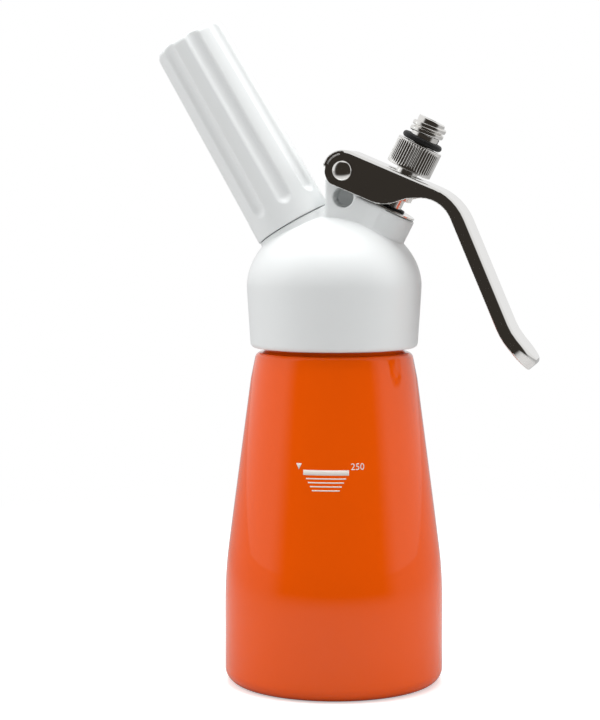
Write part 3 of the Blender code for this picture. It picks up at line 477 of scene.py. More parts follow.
def ahead(point, heading, distance):
    """The point at a distance along a heading of the plane."""
    return (point[0] + distance * math.cos(heading), point[1] + distance * math.sin(heading))


def line_meet(point_a, heading_a, point_b, heading_b):
    """Where two lines of the plane, each a point and a heading, cross."""
    ax, ay = math.cos(heading_a), math.sin(heading_a)
    bx, by = math.cos(heading_b), math.sin(heading_b)
    dx, dy = point_b[0] - point_a[0], point_b[1] - point_a[1]
    along = (dx * by - dy * bx) / (ax * by - ay * bx)
    return (point_a[0] + ax * along, point_a[1] + ay * along)


# Shapes and pieces
def turned(profile, place=upright, steps=turn_steps, closed=False):
    """Spin a profile of (radius, height) points about a place's Z into a closed shape."""
    shape = bmesh.new()
    corners = [shape.verts.new((radius, 0, height)) for radius, height in profile]
    edges = [shape.edges.new(pair) for pair in zip(corners, corners[1:])]
    if closed:
        edges.append(shape.edges.new((corners[-1], corners[0])))
    bmesh.ops.spin(shape, geom=corners + edges, cent=(0, 0, 0), axis=(0, 0, 1), dvec=(0, 0, 0),
                   angle=2 * math.pi, steps=steps, use_merge=True, use_duplicate=False)
    bmesh.ops.remove_doubles(shape, verts=shape.verts, dist=weld_distance)
    bmesh.ops.recalc_face_normals(shape, faces=shape.faces)
    bmesh.ops.transform(shape, matrix=place, verts=shape.verts)
    shape.normal_update()
    return shape


def prism(outline, half_width, place=upright):
    """Extrude a flat outline of local X and Y points to both sides along local Z."""
    shape = bmesh.new()
    face = shape.faces.new([shape.verts.new((x, y, -half_width)) for x, y in outline])
    raised = bmesh.ops.extrude_face_region(shape, geom=[face])
    top = [item for item in raised["geom"] if isinstance(item, bmesh.types.BMVert)]
    bmesh.ops.translate(shape, verts=top, vec=(0, 0, 2 * half_width))
    bmesh.ops.recalc_face_normals(shape, faces=shape.faces)
    bmesh.ops.transform(shape, matrix=place, verts=shape.verts)
    return shape


def wind_thread(shape, section, pitch, foot, turns, place=upright, steps=small_turn_steps, taper=0.35):
    """Wind a closed section of (radius, height) points up round local Z. It thins out over taper turns."""
    core = min(radius for radius, _ in section)
    last = round(steps * turns)
    loop = [shape.verts.new((radius, 0, height)) for radius, height in section]
    edges = [shape.edges.new((loop[i - 1], loop[i])) for i in range(len(loop))]
    added = []
    for i in range(last + 1):
        turned_by = i / steps
        thin = min(1.0, turned_by / taper, (turns - turned_by) / taper)
        thin = math.sin(thin * math.pi / 2)
        spin = Matrix.Rotation(2 * math.pi * turned_by, 4, "Z")
        for vert, (radius, height) in zip(loop, section):
            vert.co = spin @ Vector((core + (radius - core) * thin, 0, foot + height + pitch * turned_by))
        added += loop
        if i < last:
            grown = bmesh.ops.extrude_edge_only(shape, edges=edges)["geom"]
            raised = [item for item in grown if isinstance(item, bmesh.types.BMVert)]
            edges = [item for item in grown if isinstance(item, bmesh.types.BMEdge)
                     and all(vert in raised for vert in item.verts)]
            loop = raised
    bmesh.ops.holes_fill(shape, edges=[edge for edge in shape.edges if edge.is_boundary], sides=0)
    bmesh.ops.transform(shape, matrix=place, verts=added)


def finished(shape, name):
    """Turn a shape into a mesh, and free it."""
    mesh = bpy.data.meshes.new(name)
    shape.to_mesh(mesh)
    shape.free()
    return mesh


def placed(data, name):
    """Link a mesh, a font curve, a lamp or a camera to the scene as a thing of its own."""
    thing = bpy.data.objects.new(name, data)
    bpy.context.scene.collection.objects.link(thing)
    return thing


def evaluated(thing):
    """A new mesh of a thing as its modifiers, or its font, make it."""
    bpy.context.view_layer.update()
    return bpy.data.meshes.new_from_object(thing.evaluated_get(bpy.context.evaluated_depsgraph_get()))


def add_mesh(mesh, name, body, slot, replaced=(), finishes=None, smooth=smooth_angle):
    """Turn a mesh into a piece that rides on a body and stands for the replaced solids."""
    piece = placed(mesh, name)
    mesh.shade_smooth()
    if smooth:
        mesh.set_sharp_from_angle(angle=smooth)
    for finish in finishes or [slot]:
        mesh.materials.append(material(finish))
    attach(piece, body)
    if replaced:
        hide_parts(*replaced)
    return piece


def add_piece(shape, name, body, slot, replaced=(), finishes=None, smooth=smooth_angle):
    """Turn a shape into such a piece."""
    return add_mesh(finished(shape, name), name, body, slot, replaced, finishes, smooth)


# Surfaces that a distance describes
def round_max(first, second, radius):
    """Distance to what two solids share, with the edge between them rounded to a radius."""
    corner = np.hypot(first + radius, second + radius) - radius
    near = (first > -radius) & (second > -radius)
    return np.where(near, corner, np.maximum(first, second))


def round_min(first, second, radius):
    """Distance to two solids together, with a fillet of a radius between them."""
    return -round_max(-first, -second, radius)


def seen_from(points, place):
    """Radius about a place's Z and height along it, for rows of points."""
    local = points @ np.array(place.inverted().to_3x3()).T + np.array(place.inverted().translation)
    return np.hypot(local[:, 0], local[:, 1]), local[:, 2]


def polygon_distance(x, y, corners):
    """Signed distance in the plane to a closed outline, less than zero inside."""
    nearest = np.full(x.shape, np.inf)
    inside = np.zeros(x.shape, bool)
    for (ax, ay), (bx, by) in zip(corners, corners[1:] + corners[:1]):
        ex, ey = bx - ax, by - ay
        along = np.clip(((x - ax) * ex + (y - ay) * ey) / (ex * ex + ey * ey), 0, 1)
        nearest = np.minimum(nearest, np.hypot(x - ax - ex * along, y - ay - ey * along))
        if ay != by:
            crosses = ((ay > y) != (by > y)) & (x < ex * (y - ay) / ey + ax)
            inside ^= crosses
    return np.where(inside, -nearest, nearest)


def eased(share):
    """A share from zero to one that starts and ends softly."""
    return share * share * (3 - 2 * share)


def flat_field(outline, low, high, step=0.12 * mm):
    """Distance to a closed outline of the plane, kept on a fine grid between two corners."""
    last_cell = 1.001
    columns = np.arange(low[0], high[0] + step, step)
    rows = np.arange(low[1], high[1] + step, step)
    x, y = np.meshgrid(columns, rows, indexing="ij")
    grid = polygon_distance(x.ravel(), y.ravel(), outline).reshape(x.shape)

    def read(x, y):
        across = np.clip((x - low[0]) / step, 0, len(columns) - last_cell)
        up = np.clip((y - low[1]) / step, 0, len(rows) - last_cell)
        i, j = across.astype(int), up.astype(int)
        u, v = across - i, up - j
        left = grid[i, j] * (1 - v) + grid[i, j + 1] * v
        right = grid[i + 1, j] * (1 - v) + grid[i + 1, j + 1] * v
        return left * (1 - u) + right * u

    return read


def even_mesh(node_name, grain):
    """A copy of a solid's surface with even faces of a width."""
    mesh = frame["nodes"][node_name].data.copy()
    shape = bmesh.new()
    shape.from_mesh(mesh)
    bmesh.ops.remove_doubles(shape, verts=shape.verts, dist=weld_distance)
    shape.to_mesh(mesh)
    shape.free()
    base = placed(mesh, "base")
    remesh = base.modifiers.new("even", "REMESH")
    remesh.mode = "VOXEL"
    remesh.voxel_size = grain
    even = evaluated(base)
    bpy.data.objects.remove(base, do_unlink=True)
    bpy.data.meshes.remove(mesh)
    even.materials.clear()
    return even


def relax(mesh):
    """Even out a mesh's faces a little."""
    shape = bmesh.new()
    shape.from_mesh(mesh)
    bmesh.ops.smooth_vert(shape, verts=shape.verts, factor=0.5, use_axis_x=True, use_axis_y=True,
                          use_axis_z=True)
    shape.to_mesh(mesh)
    shape.free()


def settle(mesh, distance, passes=3, probe=0.02 * mm, longest=0.5 * mm):
    """Bring a mesh on to the surface where a distance is zero, and return its slope there at each point."""
    points = np.empty(len(mesh.vertices) * 3)
    mesh.vertices.foreach_get("co", points)
    points = points.reshape(-1, 3)
    sides = probe * np.eye(3)
    for _ in range(passes):
        rises = [distance(points + side) - distance(points - side) for side in sides]
        slope = np.stack(rises, 1) / (2 * probe)
        size = np.maximum((slope ** 2).sum(1), flattest)
        move = np.clip(distance(points) / size, -longest, longest)
        points = points - move[:, None] * slope
    mesh.vertices.foreach_set("co", points.ravel())
    mesh.update()
    return slope / np.maximum(np.linalg.norm(slope, axis=1), flattest)[:, None]


def shade_by(piece, slopes):
    """Shade a piece with the slope of its true surface at each of its points."""
    piece.data.normals_split_custom_set_from_vertices([tuple(slope) for slope in slopes])


def add_carved(name, node_name, grain, distance, body, slot, turns=2):
    """Make a piece from a solid's even mesh, brought on to the surface that a distance describes."""
    mesh = even_mesh(node_name, grain)
    settle(mesh, distance)
    for _ in range(turns):
        relax(mesh)
        slopes = settle(mesh, distance)
    shade_by(add_mesh(mesh, name, body, slot, [node_name], smooth=None), slopes)


# Cuts
def section(name, place, near=0.01 * mm):
    """Corners of (radius, height) where a half plane cuts a round solid, and whether it has a hole."""
    shape = bmesh.new()
    shape.from_mesh(frame["nodes"][name].data)
    bmesh.ops.transform(shape, matrix=place.inverted(), verts=shape.verts)
    bmesh.ops.remove_doubles(shape, verts=shape.verts, dist=weld_distance)
    cut = bmesh.ops.bisect_plane(shape, geom=shape.verts[:] + shape.edges[:] + shape.faces[:], dist=near,
                                 plane_co=(0, 0, 0), plane_no=(0, 1, 0))["geom_cut"]
    links = {}
    for item in cut:
        if isinstance(item, bmesh.types.BMEdge) and all(vert.co.x > -near for vert in item.verts):
            if any(vert.co.x > near for vert in item.verts):
                for vert in item.verts:
                    links.setdefault(vert, []).append(item.other_vert(vert))
    ends = [vert for vert, others in links.items() if len(others) == 1]
    walk = [ends[0] if ends else next(iter(links))]
    while True:
        onward = [vert for vert in links[walk[-1]] if vert not in walk]
        if not onward:
            break
        walk.append(onward[0])
    points = [(max(0.0, vert.co.x), vert.co.z) for vert in walk]
    shape.free()
    kept = []
    for i, (x, y) in enumerate(points):
        (ax, ay), (bx, by) = points[i - 1], points[(i + 1) % len(points)]
        outer = bool(ends) and i in (0, len(points) - 1)
        if outer or abs((x - ax) * (by - ay) - (y - ay) * (bx - ax)) > near * math.dist((ax, ay), (bx, by)):
            kept.append((x, y))
    return kept, not ends


def cut_to(piece, cutter):
    """Keep what a piece shares with a cutter, round the edges, and remove the cutter."""
    boolean = piece.modifiers.new("cut", "BOOLEAN")
    boolean.operation = "INTERSECT"
    boolean.solver = "EXACT"
    boolean.object = cutter
    bevel = piece.modifiers.new("edges", "BEVEL")
    bevel.width = bpy.context.scene.dispenser_valve.edge
    bevel.segments = edge_segments
    bevel.limit_method = "ANGLE"
    bevel.angle_limit = smooth_angle
    done = evaluated(piece)
    piece.modifiers.clear()
    piece.data = done
    bpy.data.objects.remove(cutter, do_unlink=True)


# Finishes
def node(tree, kind, inputs=None, **settings):
    """Add a shader node with its settings and its inputs, each a value or a socket to link."""
    added = tree.nodes.new(kind)
    for name, value in settings.items():
        setattr(added, name, value)
    for name, value in (inputs or {}).items():
        if isinstance(value, bpy.types.NodeSocket):
            tree.links.new(value, added.inputs[name])
        else:
            added.inputs[name].default_value = value
    return added


def new_material(name, values):
    """Start a material with values on its shader's sockets, and return it with its tree and its shader."""
    made = bpy.data.materials.new(name + "_finish")
    made.use_nodes = True
    tree = made.node_tree
    shader = tree.nodes["Principled BSDF"]
    for socket, value in values.items():
        shader.inputs[socket].default_value = value
    return made, tree, shader


def noise(tree, width, detail=3.0, stretch=(1, 1, 1), turn=(0, 0, 0)):
    """Noise whose spots are about a width across, in the frame's own coordinates."""
    place = node(tree, "ShaderNodeTexCoord").outputs["Object"]
    mapping = node(tree, "ShaderNodeMapping", {"Vector": place, "Rotation": turn, "Scale": stretch})
    return node(tree, "ShaderNodeTexNoise", {"Vector": mapping.outputs["Vector"], "Scale": 1 / width,
                                             "Detail": detail}).outputs["Fac"]


def vary(tree, shader, source, low, high):
    """Drive a shader's roughness between two values by noise."""
    spread = node(tree, "ShaderNodeMapRange", {"Value": source, "From Min": 0.3, "From Max": 0.7,
                                               "To Min": low, "To Max": high})
    tree.links.new(spread.outputs["Result"], shader.inputs["Roughness"])


def tone(tree, shader, source, first, second):
    """Drive a shader's colour between two tones by noise."""
    blend = node(tree, "ShaderNodeMix", {"Factor": source}, data_type="RGBA")
    blend.inputs["A"].default_value = (*first, 1)
    blend.inputs["B"].default_value = (*second, 1)
    tree.links.new(blend.outputs["Result"], shader.inputs["Base Color"])


def tinted(colour, share):
    """A colour times a share."""
    return tuple(part * share for part in colour)


def relief(tree, shader, source, height):
    """Raise a surface by noise of a height, in the shading alone."""
    bump = node(tree, "ShaderNodeBump", {"Height": source, "Distance": height, "Strength": 1.0})
    tree.links.new(bump.outputs["Normal"], shader.inputs["Normal"])
    return bump.outputs["Normal"]


def material(name):
    """A finish of the model by its name, made once."""
    return bpy.data.materials.get(name + "_finish") or makers[name](bpy.context.scene.dispenser_finish)


def make_enamel(finish):
    """Glossy orange enamel with a faint ripple in its coat."""
    made, tree, shader = new_material("orange_enamel", {"Roughness": 0.35, "Specular IOR Level": 0.0,
                                                        "Coat Weight": 1.0, "Coat Roughness": 0.04,
                                                        "Coat IOR": 1.45})
    tone(tree, shader, noise(tree, width=24 * mm), finish.enamel_deep, finish.enamel)
    ripple = relief(tree, shader, noise(tree, width=1.6 * mm, detail=1.0), height=0.0015 * mm)
    tree.links.new(ripple, shader.inputs["Coat Normal"])
    return made


def make_plastic(finish):
    """White moulded plastic, glossy, with a very fine mould texture."""
    made, tree, shader = new_material("white_plastic", {"Coat Weight": 0.15, "Coat Roughness": 0.15,
                                                        "Coat IOR": 1.45})
    tone(tree, shader, noise(tree, width=15 * mm), tinted(finish.plastic, 0.993), finish.plastic)
    vary(tree, shader, noise(tree, width=6 * mm), low=0.34, high=0.4)
    relief(tree, shader, noise(tree, width=0.35 * mm, detail=2.0), height=0.0004 * mm)
    return made


def make_ink(finish):
    """White screen print, matter than the enamel."""
    made, tree, shader = new_material("print_ink", {"Roughness": 0.5})
    tone(tree, shader, noise(tree, width=0.5 * mm), tinted(finish.print_ink, 0.95), finish.print_ink)
    relief(tree, shader, noise(tree, width=0.15 * mm, detail=2.0), height=0.003 * mm)
    return made


def make_nickel(finish):
    """Bright nickel plate on turned brass, with faint turning marks."""
    made, tree, shader = new_material("nickel", {"Metallic": 1.0})
    tone(tree, shader, noise(tree, width=2 * mm), tinted(finish.nickel, 0.93), finish.nickel)
    vary(tree, shader, noise(tree, width=0.9 * mm), low=0.08, high=0.16)
    relief(tree, shader, noise(tree, width=0.3 * mm, detail=2.0), height=0.001 * mm)
    return made


def make_chrome(finish):
    """Polished plate on pressed sheet, with fine hairlines along the lever."""
    made, tree, shader = new_material("chromed_steel", {"Metallic": 1.0})
    hairs = noise(tree, width=6 * mm, detail=4.0, stretch=(1, 24, 24), turn=(0, math.radians(45), 0))
    tone(tree, shader, noise(tree, width=8 * mm), tinted(finish.chrome, 0.95), finish.chrome)
    vary(tree, shader, hairs, low=0.04, high=0.13)
    relief(tree, shader, hairs, height=0.0008 * mm)
    return made


def make_aluminium(finish):
    """Bare drawn aluminium with rings from the tool."""
    made, tree, shader = new_material("bare_aluminium", {"Base Color": (*finish.aluminium, 1),
                                                         "Metallic": 1.0})
    rings = noise(tree, width=4 * mm, stretch=(0.05, 0.05, 14))
    vary(tree, shader, rings, low=0.25, high=0.42)
    relief(tree, shader, rings, height=0.004 * mm)
    return made


def make_rubber(finish):
    """Black moulded rubber."""
    made, tree, shader = new_material("black_rubber", {"Specular IOR Level": 0.25})
    tone(tree, shader, noise(tree, width=1.5 * mm), finish.rubber, tinted(finish.rubber, 2.0))
    vary(tree, shader, noise(tree, width=0.6 * mm), low=0.34, high=0.55)
    relief(tree, shader, noise(tree, width=0.25 * mm), height=0.006 * mm)
    return made


def make_silicone(finish):
    """Milky silicone rubber."""
    made, tree, shader = new_material("clear_silicone", {})
    tone(tree, shader, noise(tree, width=3 * mm), tinted(finish.silicone, 0.93), finish.silicone)
    vary(tree, shader, noise(tree, width=1 * mm), low=0.38, high=0.55)
    relief(tree, shader, noise(tree, width=0.4 * mm), height=0.004 * mm)
    return made


def make_steel(finish):
    """Drawn spring steel."""
    made, tree, shader = new_material("spring_steel", {"Base Color": (*finish.steel, 1), "Metallic": 1.0})
    vary(tree, shader, noise(tree, width=0.5 * mm), low=0.22, high=0.4)
    relief(tree, shader, noise(tree, width=0.2 * mm), height=0.003 * mm)
    return made


makers = {
    "orange_enamel": make_enamel,
    "white_plastic": make_plastic,
    "print_ink": make_ink,
    "nickel": make_nickel,
    "chromed_steel": make_chrome,
    "bare_aluminium": make_aluminium,
    "black_rubber": make_rubber,
    "clear_silicone": make_silicone,
    "spring_steel": make_steel,
}


# Operators
def faces_out(face):
    """Whether a face of a turned shape points away from the Z axis, as the outside does."""
    centre = face.calc_center_median()
    return face.normal.x * centre.x + face.normal.y * centre.y > 0


class DISPENSER_OT_bottle(Operator):
    """Make the drawn bottle: enamel outside, bare neck with its thread, bare inside"""
    bl_idname = "dispenser.bottle"
    bl_label = "Bottle"

    def execute(self, context):
        bottle = context.scene.dispenser_bottle
        cone_top = bottle.straight_height + bottle.cone_height
        shoulder = cone_top + bottle.shoulder_height + bottle.shoulder_round
        rim = span("bottle", upright)[1]
        wall = bottle.wall
        neck = bottle.neck_radius
        edge = bottle.rim_round
        groove = bottle.neck_round
        outside = [(neck, rim, edge), (neck, shoulder, groove),
                   (bottle.shoulder_radius, shoulder, bottle.shoulder_round),
                   (bottle.cone_top_radius, cone_top),
                   (bottle.radius, bottle.straight_height, bottle.foot_blend),
                   (bottle.radius, 0, bottle.base_round), (0, 0)]
        inside = [(0, wall), (bottle.radius - wall, wall, bottle.base_round - wall),
                  (bottle.radius - wall, bottle.straight_height, bottle.foot_blend),
                  (bottle.cone_top_radius - wall, cone_top),
                  (bottle.shoulder_radius - wall, shoulder - wall, edge),
                  (neck - wall, shoulder - wall, edge), (neck - wall, rim, edge)]
        shape = turned(rounded(outside + inside, closed=True), closed=True)
        for face in shape.faces:
            height = face.calc_center_median().z
            outer = (faces_out(face) and height < shoulder + groove) or height < wall / 2
            face.material_index = 0 if outer else 1
        half = bottle.thread_width / 2
        sunk = neck - edge
        crest = neck + bottle.thread_height
        ridge = rounded([(sunk, -half), (neck, -half), (crest, -half / 2, half / 3),
                         (crest, half / 2, half / 3), (neck, half), (sunk, half)])
        turns = 1.75
        thread_foot = rim - bottle.thread_drop - turns * bottle.thread_pitch
        body_faces = set(shape.faces)
        wind_thread(shape, ridge, bottle.thread_pitch, thread_foot, turns, steps=turn_steps)
        for face in set(shape.faces) - body_faces:
            face.material_index = 1
        add_piece(shape, "drawn_bottle", "bottle", "orange_enamel", ["bottle"],
                  ["orange_enamel", "bare_aluminium"])
        return {"FINISHED"}


class DISPENSER_OT_fill_mark(Operator):
    """Print the white fill mark on the bottle's front"""
    bl_idname = "dispenser.fill_mark"
    bl_label = "Fill mark"

    def execute(self, context):
        bottle = context.scene.dispenser_bottle
        mark = context.scene.dispenser_print
        shape = bmesh.new()
        bar_faces = 16
        rows = [(0, mark.bar_width, mark.bar_height)]
        for i in range(mark.lines):
            drop = mark.first_line + i * mark.line_step
            rows.append((-drop, mark.first_width - i * mark.width_step, mark.line_height))
        for rise, width, height in rows:
            place = Matrix.Translation((0, rise, 0)) @ Matrix.Diagonal((width, height, 1, 1))
            bmesh.ops.create_grid(shape, x_segments=bar_faces, y_segments=1, size=0.5, matrix=place)
        half = mark.pointer_width / 2
        tip, foot = -mark.bar_width / 2 - mark.number_gap - half, mark.number_rise
        corners = [(tip, foot), (tip + half, foot + 2 * half), (tip - half, foot + 2 * half)]
        shape.faces.new([shape.verts.new((x, y, 0)) for x, y in corners])
        self.add_number(shape, mark)
        slope = (bottle.radius - bottle.cone_top_radius) / bottle.cone_height
        for vert in shape.verts:
            height = mark.height + vert.co.y
            radius = bottle.radius - (height - bottle.straight_height) * slope + mark.ink / 2
            turn = mark.turn + vert.co.x / radius
            vert.co = (radius * math.sin(turn), -radius * math.cos(turn), height)
        bmesh.ops.recalc_face_normals(shape, faces=shape.faces)
        piece = add_piece(shape, "fill_mark", "bottle", "white_plastic", finishes=["print_ink"], smooth=None)
        skin = piece.modifiers.new("ink", "SOLIDIFY")
        skin.thickness = mark.ink
        skin.offset = 0
        return {"FINISHED"}

    def add_number(self, shape, mark):
        """Add the plain number to the flat print."""
        letter_share = 1.4
        curve_faces = 6
        curve = bpy.data.curves.new("number", "FONT")
        curve.body = mark.number
        curve.size = mark.number_height * letter_share
        curve.resolution_u = curve_faces
        writing = placed(curve, "number")
        mesh = evaluated(writing)
        bpy.data.objects.remove(writing, do_unlink=True)
        start = len(shape.verts)
        shape.from_mesh(mesh)
        shape.verts.ensure_lookup_table()
        place = (mark.bar_width / 2 + mark.number_gap, mark.number_rise, 0)
        bmesh.ops.translate(shape, verts=shape.verts[start:], vec=place)
        long_edges = [edge for edge in shape.edges if edge.calc_length() > mark.number_height / 3]
        bmesh.ops.subdivide_edges(shape, edges=long_edges, cuts=1)


class DISPENSER_OT_head(Operator):
    """Mould the white head: dome, skirt, valve neck, saddle block and charger boss, with their fillets"""
    bl_idname = "dispenser.head"
    bl_label = "Head"

    def execute(self, context):
        head = context.scene.dispenser_head
        add_carved("moulded_head", "head_body", head.grain, self.distance(head), "head", "white_plastic",
                   turns=3)
        return {"FINISHED"}

    def distance(self, head):
        """The head's surface, as a function that gives each point's distance to it."""
        dome_foot = head.dome_foot
        root_depth = dome_foot / 4
        foot = span("head_body", upright)[0]
        lean = (head.radius - head.foot_radius) / (dome_foot - foot - head.foot_round)
        outline = self.block_outline(head)
        low = (min(x for x, _ in outline) - head.radius / 2, dome_foot)
        high = (max(x for x, _ in outline) + head.radius / 2, max(y for _, y in outline) + head.relief_drop)
        block = flat_field(outline, low, high)
        stud_top = -head.boss_joint
        bore_end = -2 * head.spot_depth
        power = head.dome_power

        def shell(radius, rise):
            """The dome, and the skirt under it down to its rounded foot."""
            out, up = radius / head.radius, np.maximum(rise, 0) / head.dome_rise
            whole = (out ** power + up ** power) ** (1 / power)
            steep = np.hypot(out ** (power - 1) / head.radius, up ** (power - 1) / head.dome_rise)
            cap = whole ** (power - 1) * (whole - 1) / np.maximum(steep, flattest / head.radius)
            fall = np.hypot(np.minimum(rise, 0), head.waist_round) - head.waist_round
            skirt = (radius - head.radius + fall * lean) / math.hypot(1, lean)
            return round_max(np.where(rise > 0, cap, skirt), foot - dome_foot - rise, head.foot_round)

        def growths(points, neck_radius, neck_rise, boss_radius, boss_rise):
            """The valve neck, the saddle block and the charger boss."""
            neck = round_max(neck_radius - head.neck_radius, neck_rise, head.neck_round)
            neck = np.where(neck_rise > -root_depth, neck, head.radius)
            side = np.abs(points[:, 1]) - head.block_width / 2
            saddle = round_max(block(points[:, 0], points[:, 2]), side, head.block_round)
            top = round_min(neck, saddle, head.block_round)
            boss = round_min(top, boss_radius - head.boss_radius, head.boss_fillet)
            boss = round_max(boss, boss_rise - stud_top, head.boss_round)
            boss = np.where(boss_rise > -root_depth, boss, head.radius)
            return np.minimum(top, boss)

        def bores(radius, z, across, neck_radius, neck_rise, boss_radius, boss_rise):
            """The mouth, the valve's bore, the stud's pocket and bores, and the rivet's hole."""
            return (
                np.minimum(np.maximum(radius - head.bore_radius, z - head.ceiling),
                           np.maximum(radius - head.recess_radius, z - head.recess_top)),
                np.maximum(neck_radius - head.valve_bore, -head.valve_bore_depth - neck_rise),
                np.maximum(boss_radius - head.pocket_radius, stud_top - head.pocket_depth - boss_rise),
                np.maximum(boss_radius - head.body_bore, -head.body_floor - boss_rise),
                np.maximum(boss_radius - head.tail_bore, bore_end - boss_rise),
                np.maximum(np.maximum(boss_radius - head.spot_radius, boss_rise + head.spot_depth),
                           bore_end - boss_rise),
                np.hypot(across, z - pivot.z) - head.pin_bore,
            )

        def solid(points):
            x, y, z = points.T
            radius, rise, across = np.hypot(x, y), z - dome_foot, x - pivot.x
            local = (*seen_from(points, valve), *seen_from(points, holder))
            top = np.maximum(growths(points, *local), -rise)
            body = round_min(shell(radius, rise), top, head.dome_fillet)
            hole = np.hypot(across, z - pivot.z + head.relief_drop) - head.relief_radius
            hole = np.maximum(hole, head.relief_web / 2 - np.abs(y))
            body = round_max(body, -hole, head.relief_round)
            for bore in bores(radius, z, across, *local):
                body = round_max(body, -bore, head.cut_round)
            return body

        return solid

    def block_outline(self, head):
        """Side view of the saddle block with the lug that the lever turns on."""
        back = pivot.x - head.block_back
        step = pivot.z - head.block_step
        root = head.dome_foot
        corner = valve @ Vector((-head.neck_radius, 0, 0))
        middle = valve @ Vector((0, 0, 0))
        foot = valve @ Vector((0, 0, (root - middle.z) / valve[2][2]))
        outline = [(back, root), (back, step), (pivot.x - head.lug_radius, step)]
        outline += arc(head.lug_radius, math.pi, 0, (pivot.x, pivot.z))
        outline += [(corner.x, corner.z), (middle.x, middle.z), (foot.x, root)]
        return outline


class DISPENSER_OT_holder(Operator):
    """Mould the fluted charger holder"""
    bl_idname = "dispenser.holder"
    bl_label = "Charger holder"

    def execute(self, context):
        size = context.scene.dispenser_holder
        top = size.height
        cap_rings = 24
        taper = size.top_radius - size.rim_radius
        side = [(size.rim_radius + taper * i / size.rings, top * i / size.rings) for i in range(1, size.rings)]
        cap = [(size.top_radius * i / cap_rings, top) for i in range(cap_rings + 1)]
        inner = [(size.rim_radius, 0), (size.socket, 0), (size.socket, size.socket_depth),
                 (size.bore, size.socket_depth), (size.bore, top - size.roof), (0, top - size.roof)]
        mesh = finished(turned(cap + side[::-1] + inner, steps=size.steps), "moulded_holder")
        slopes = settle(mesh, self.distance(size))
        mesh.transform(holder)
        piece = add_mesh(mesh, "moulded_holder", "charger_holder", "white_plastic", ["charger_holder"],
                         smooth=None)
        shade_by(piece, slopes @ np.array(holder.to_3x3()).T)
        return {"FINISHED"}

    def distance(self, size):
        """The holder's surface in its own place, as a function that gives each point's distance to it."""
        lean = (size.rim_radius - size.top_radius) / (size.height - size.rim_round - size.top_round)
        tool = (size.flute_depth ** 2 + (size.flute_width / 2) ** 2) / (2 * size.flute_depth)
        nose = size.flute_start + size.flute_width / 2
        turns = [size.flute_turn + 2 * math.pi * i / size.flutes for i in range(size.flutes)]

        def solid(points):
            radius, rise = np.hypot(points[:, 0], points[:, 1]), points[:, 2]
            side = (radius - size.rim_radius + (rise - size.rim_round) * lean) / math.hypot(1, lean)
            body = round_max(side, rise - size.height, size.top_round)
            body = round_max(body, -rise, size.rim_round)
            room = np.minimum(np.maximum(radius - size.bore, rise - size.height + size.roof),
                              np.maximum(radius - size.socket, rise - size.socket_depth))
            body = np.maximum(body, -room)
            around = np.arctan2(points[:, 1], points[:, 0])
            nearest = np.min([np.abs(np.remainder(around - turn + math.pi, 2 * math.pi) - math.pi)
                              for turn in turns], axis=0)
            centre = size.rim_radius + tool - size.flute_depth - (rise - nose) * lean
            across = radius * np.sin(nearest)
            outward = radius * np.cos(nearest) - centre
            flute = np.sqrt(across ** 2 + outward ** 2 + np.minimum(rise - nose, 0) ** 2) - tool
            return round_max(body, -flute, size.flute_round)

        return solid


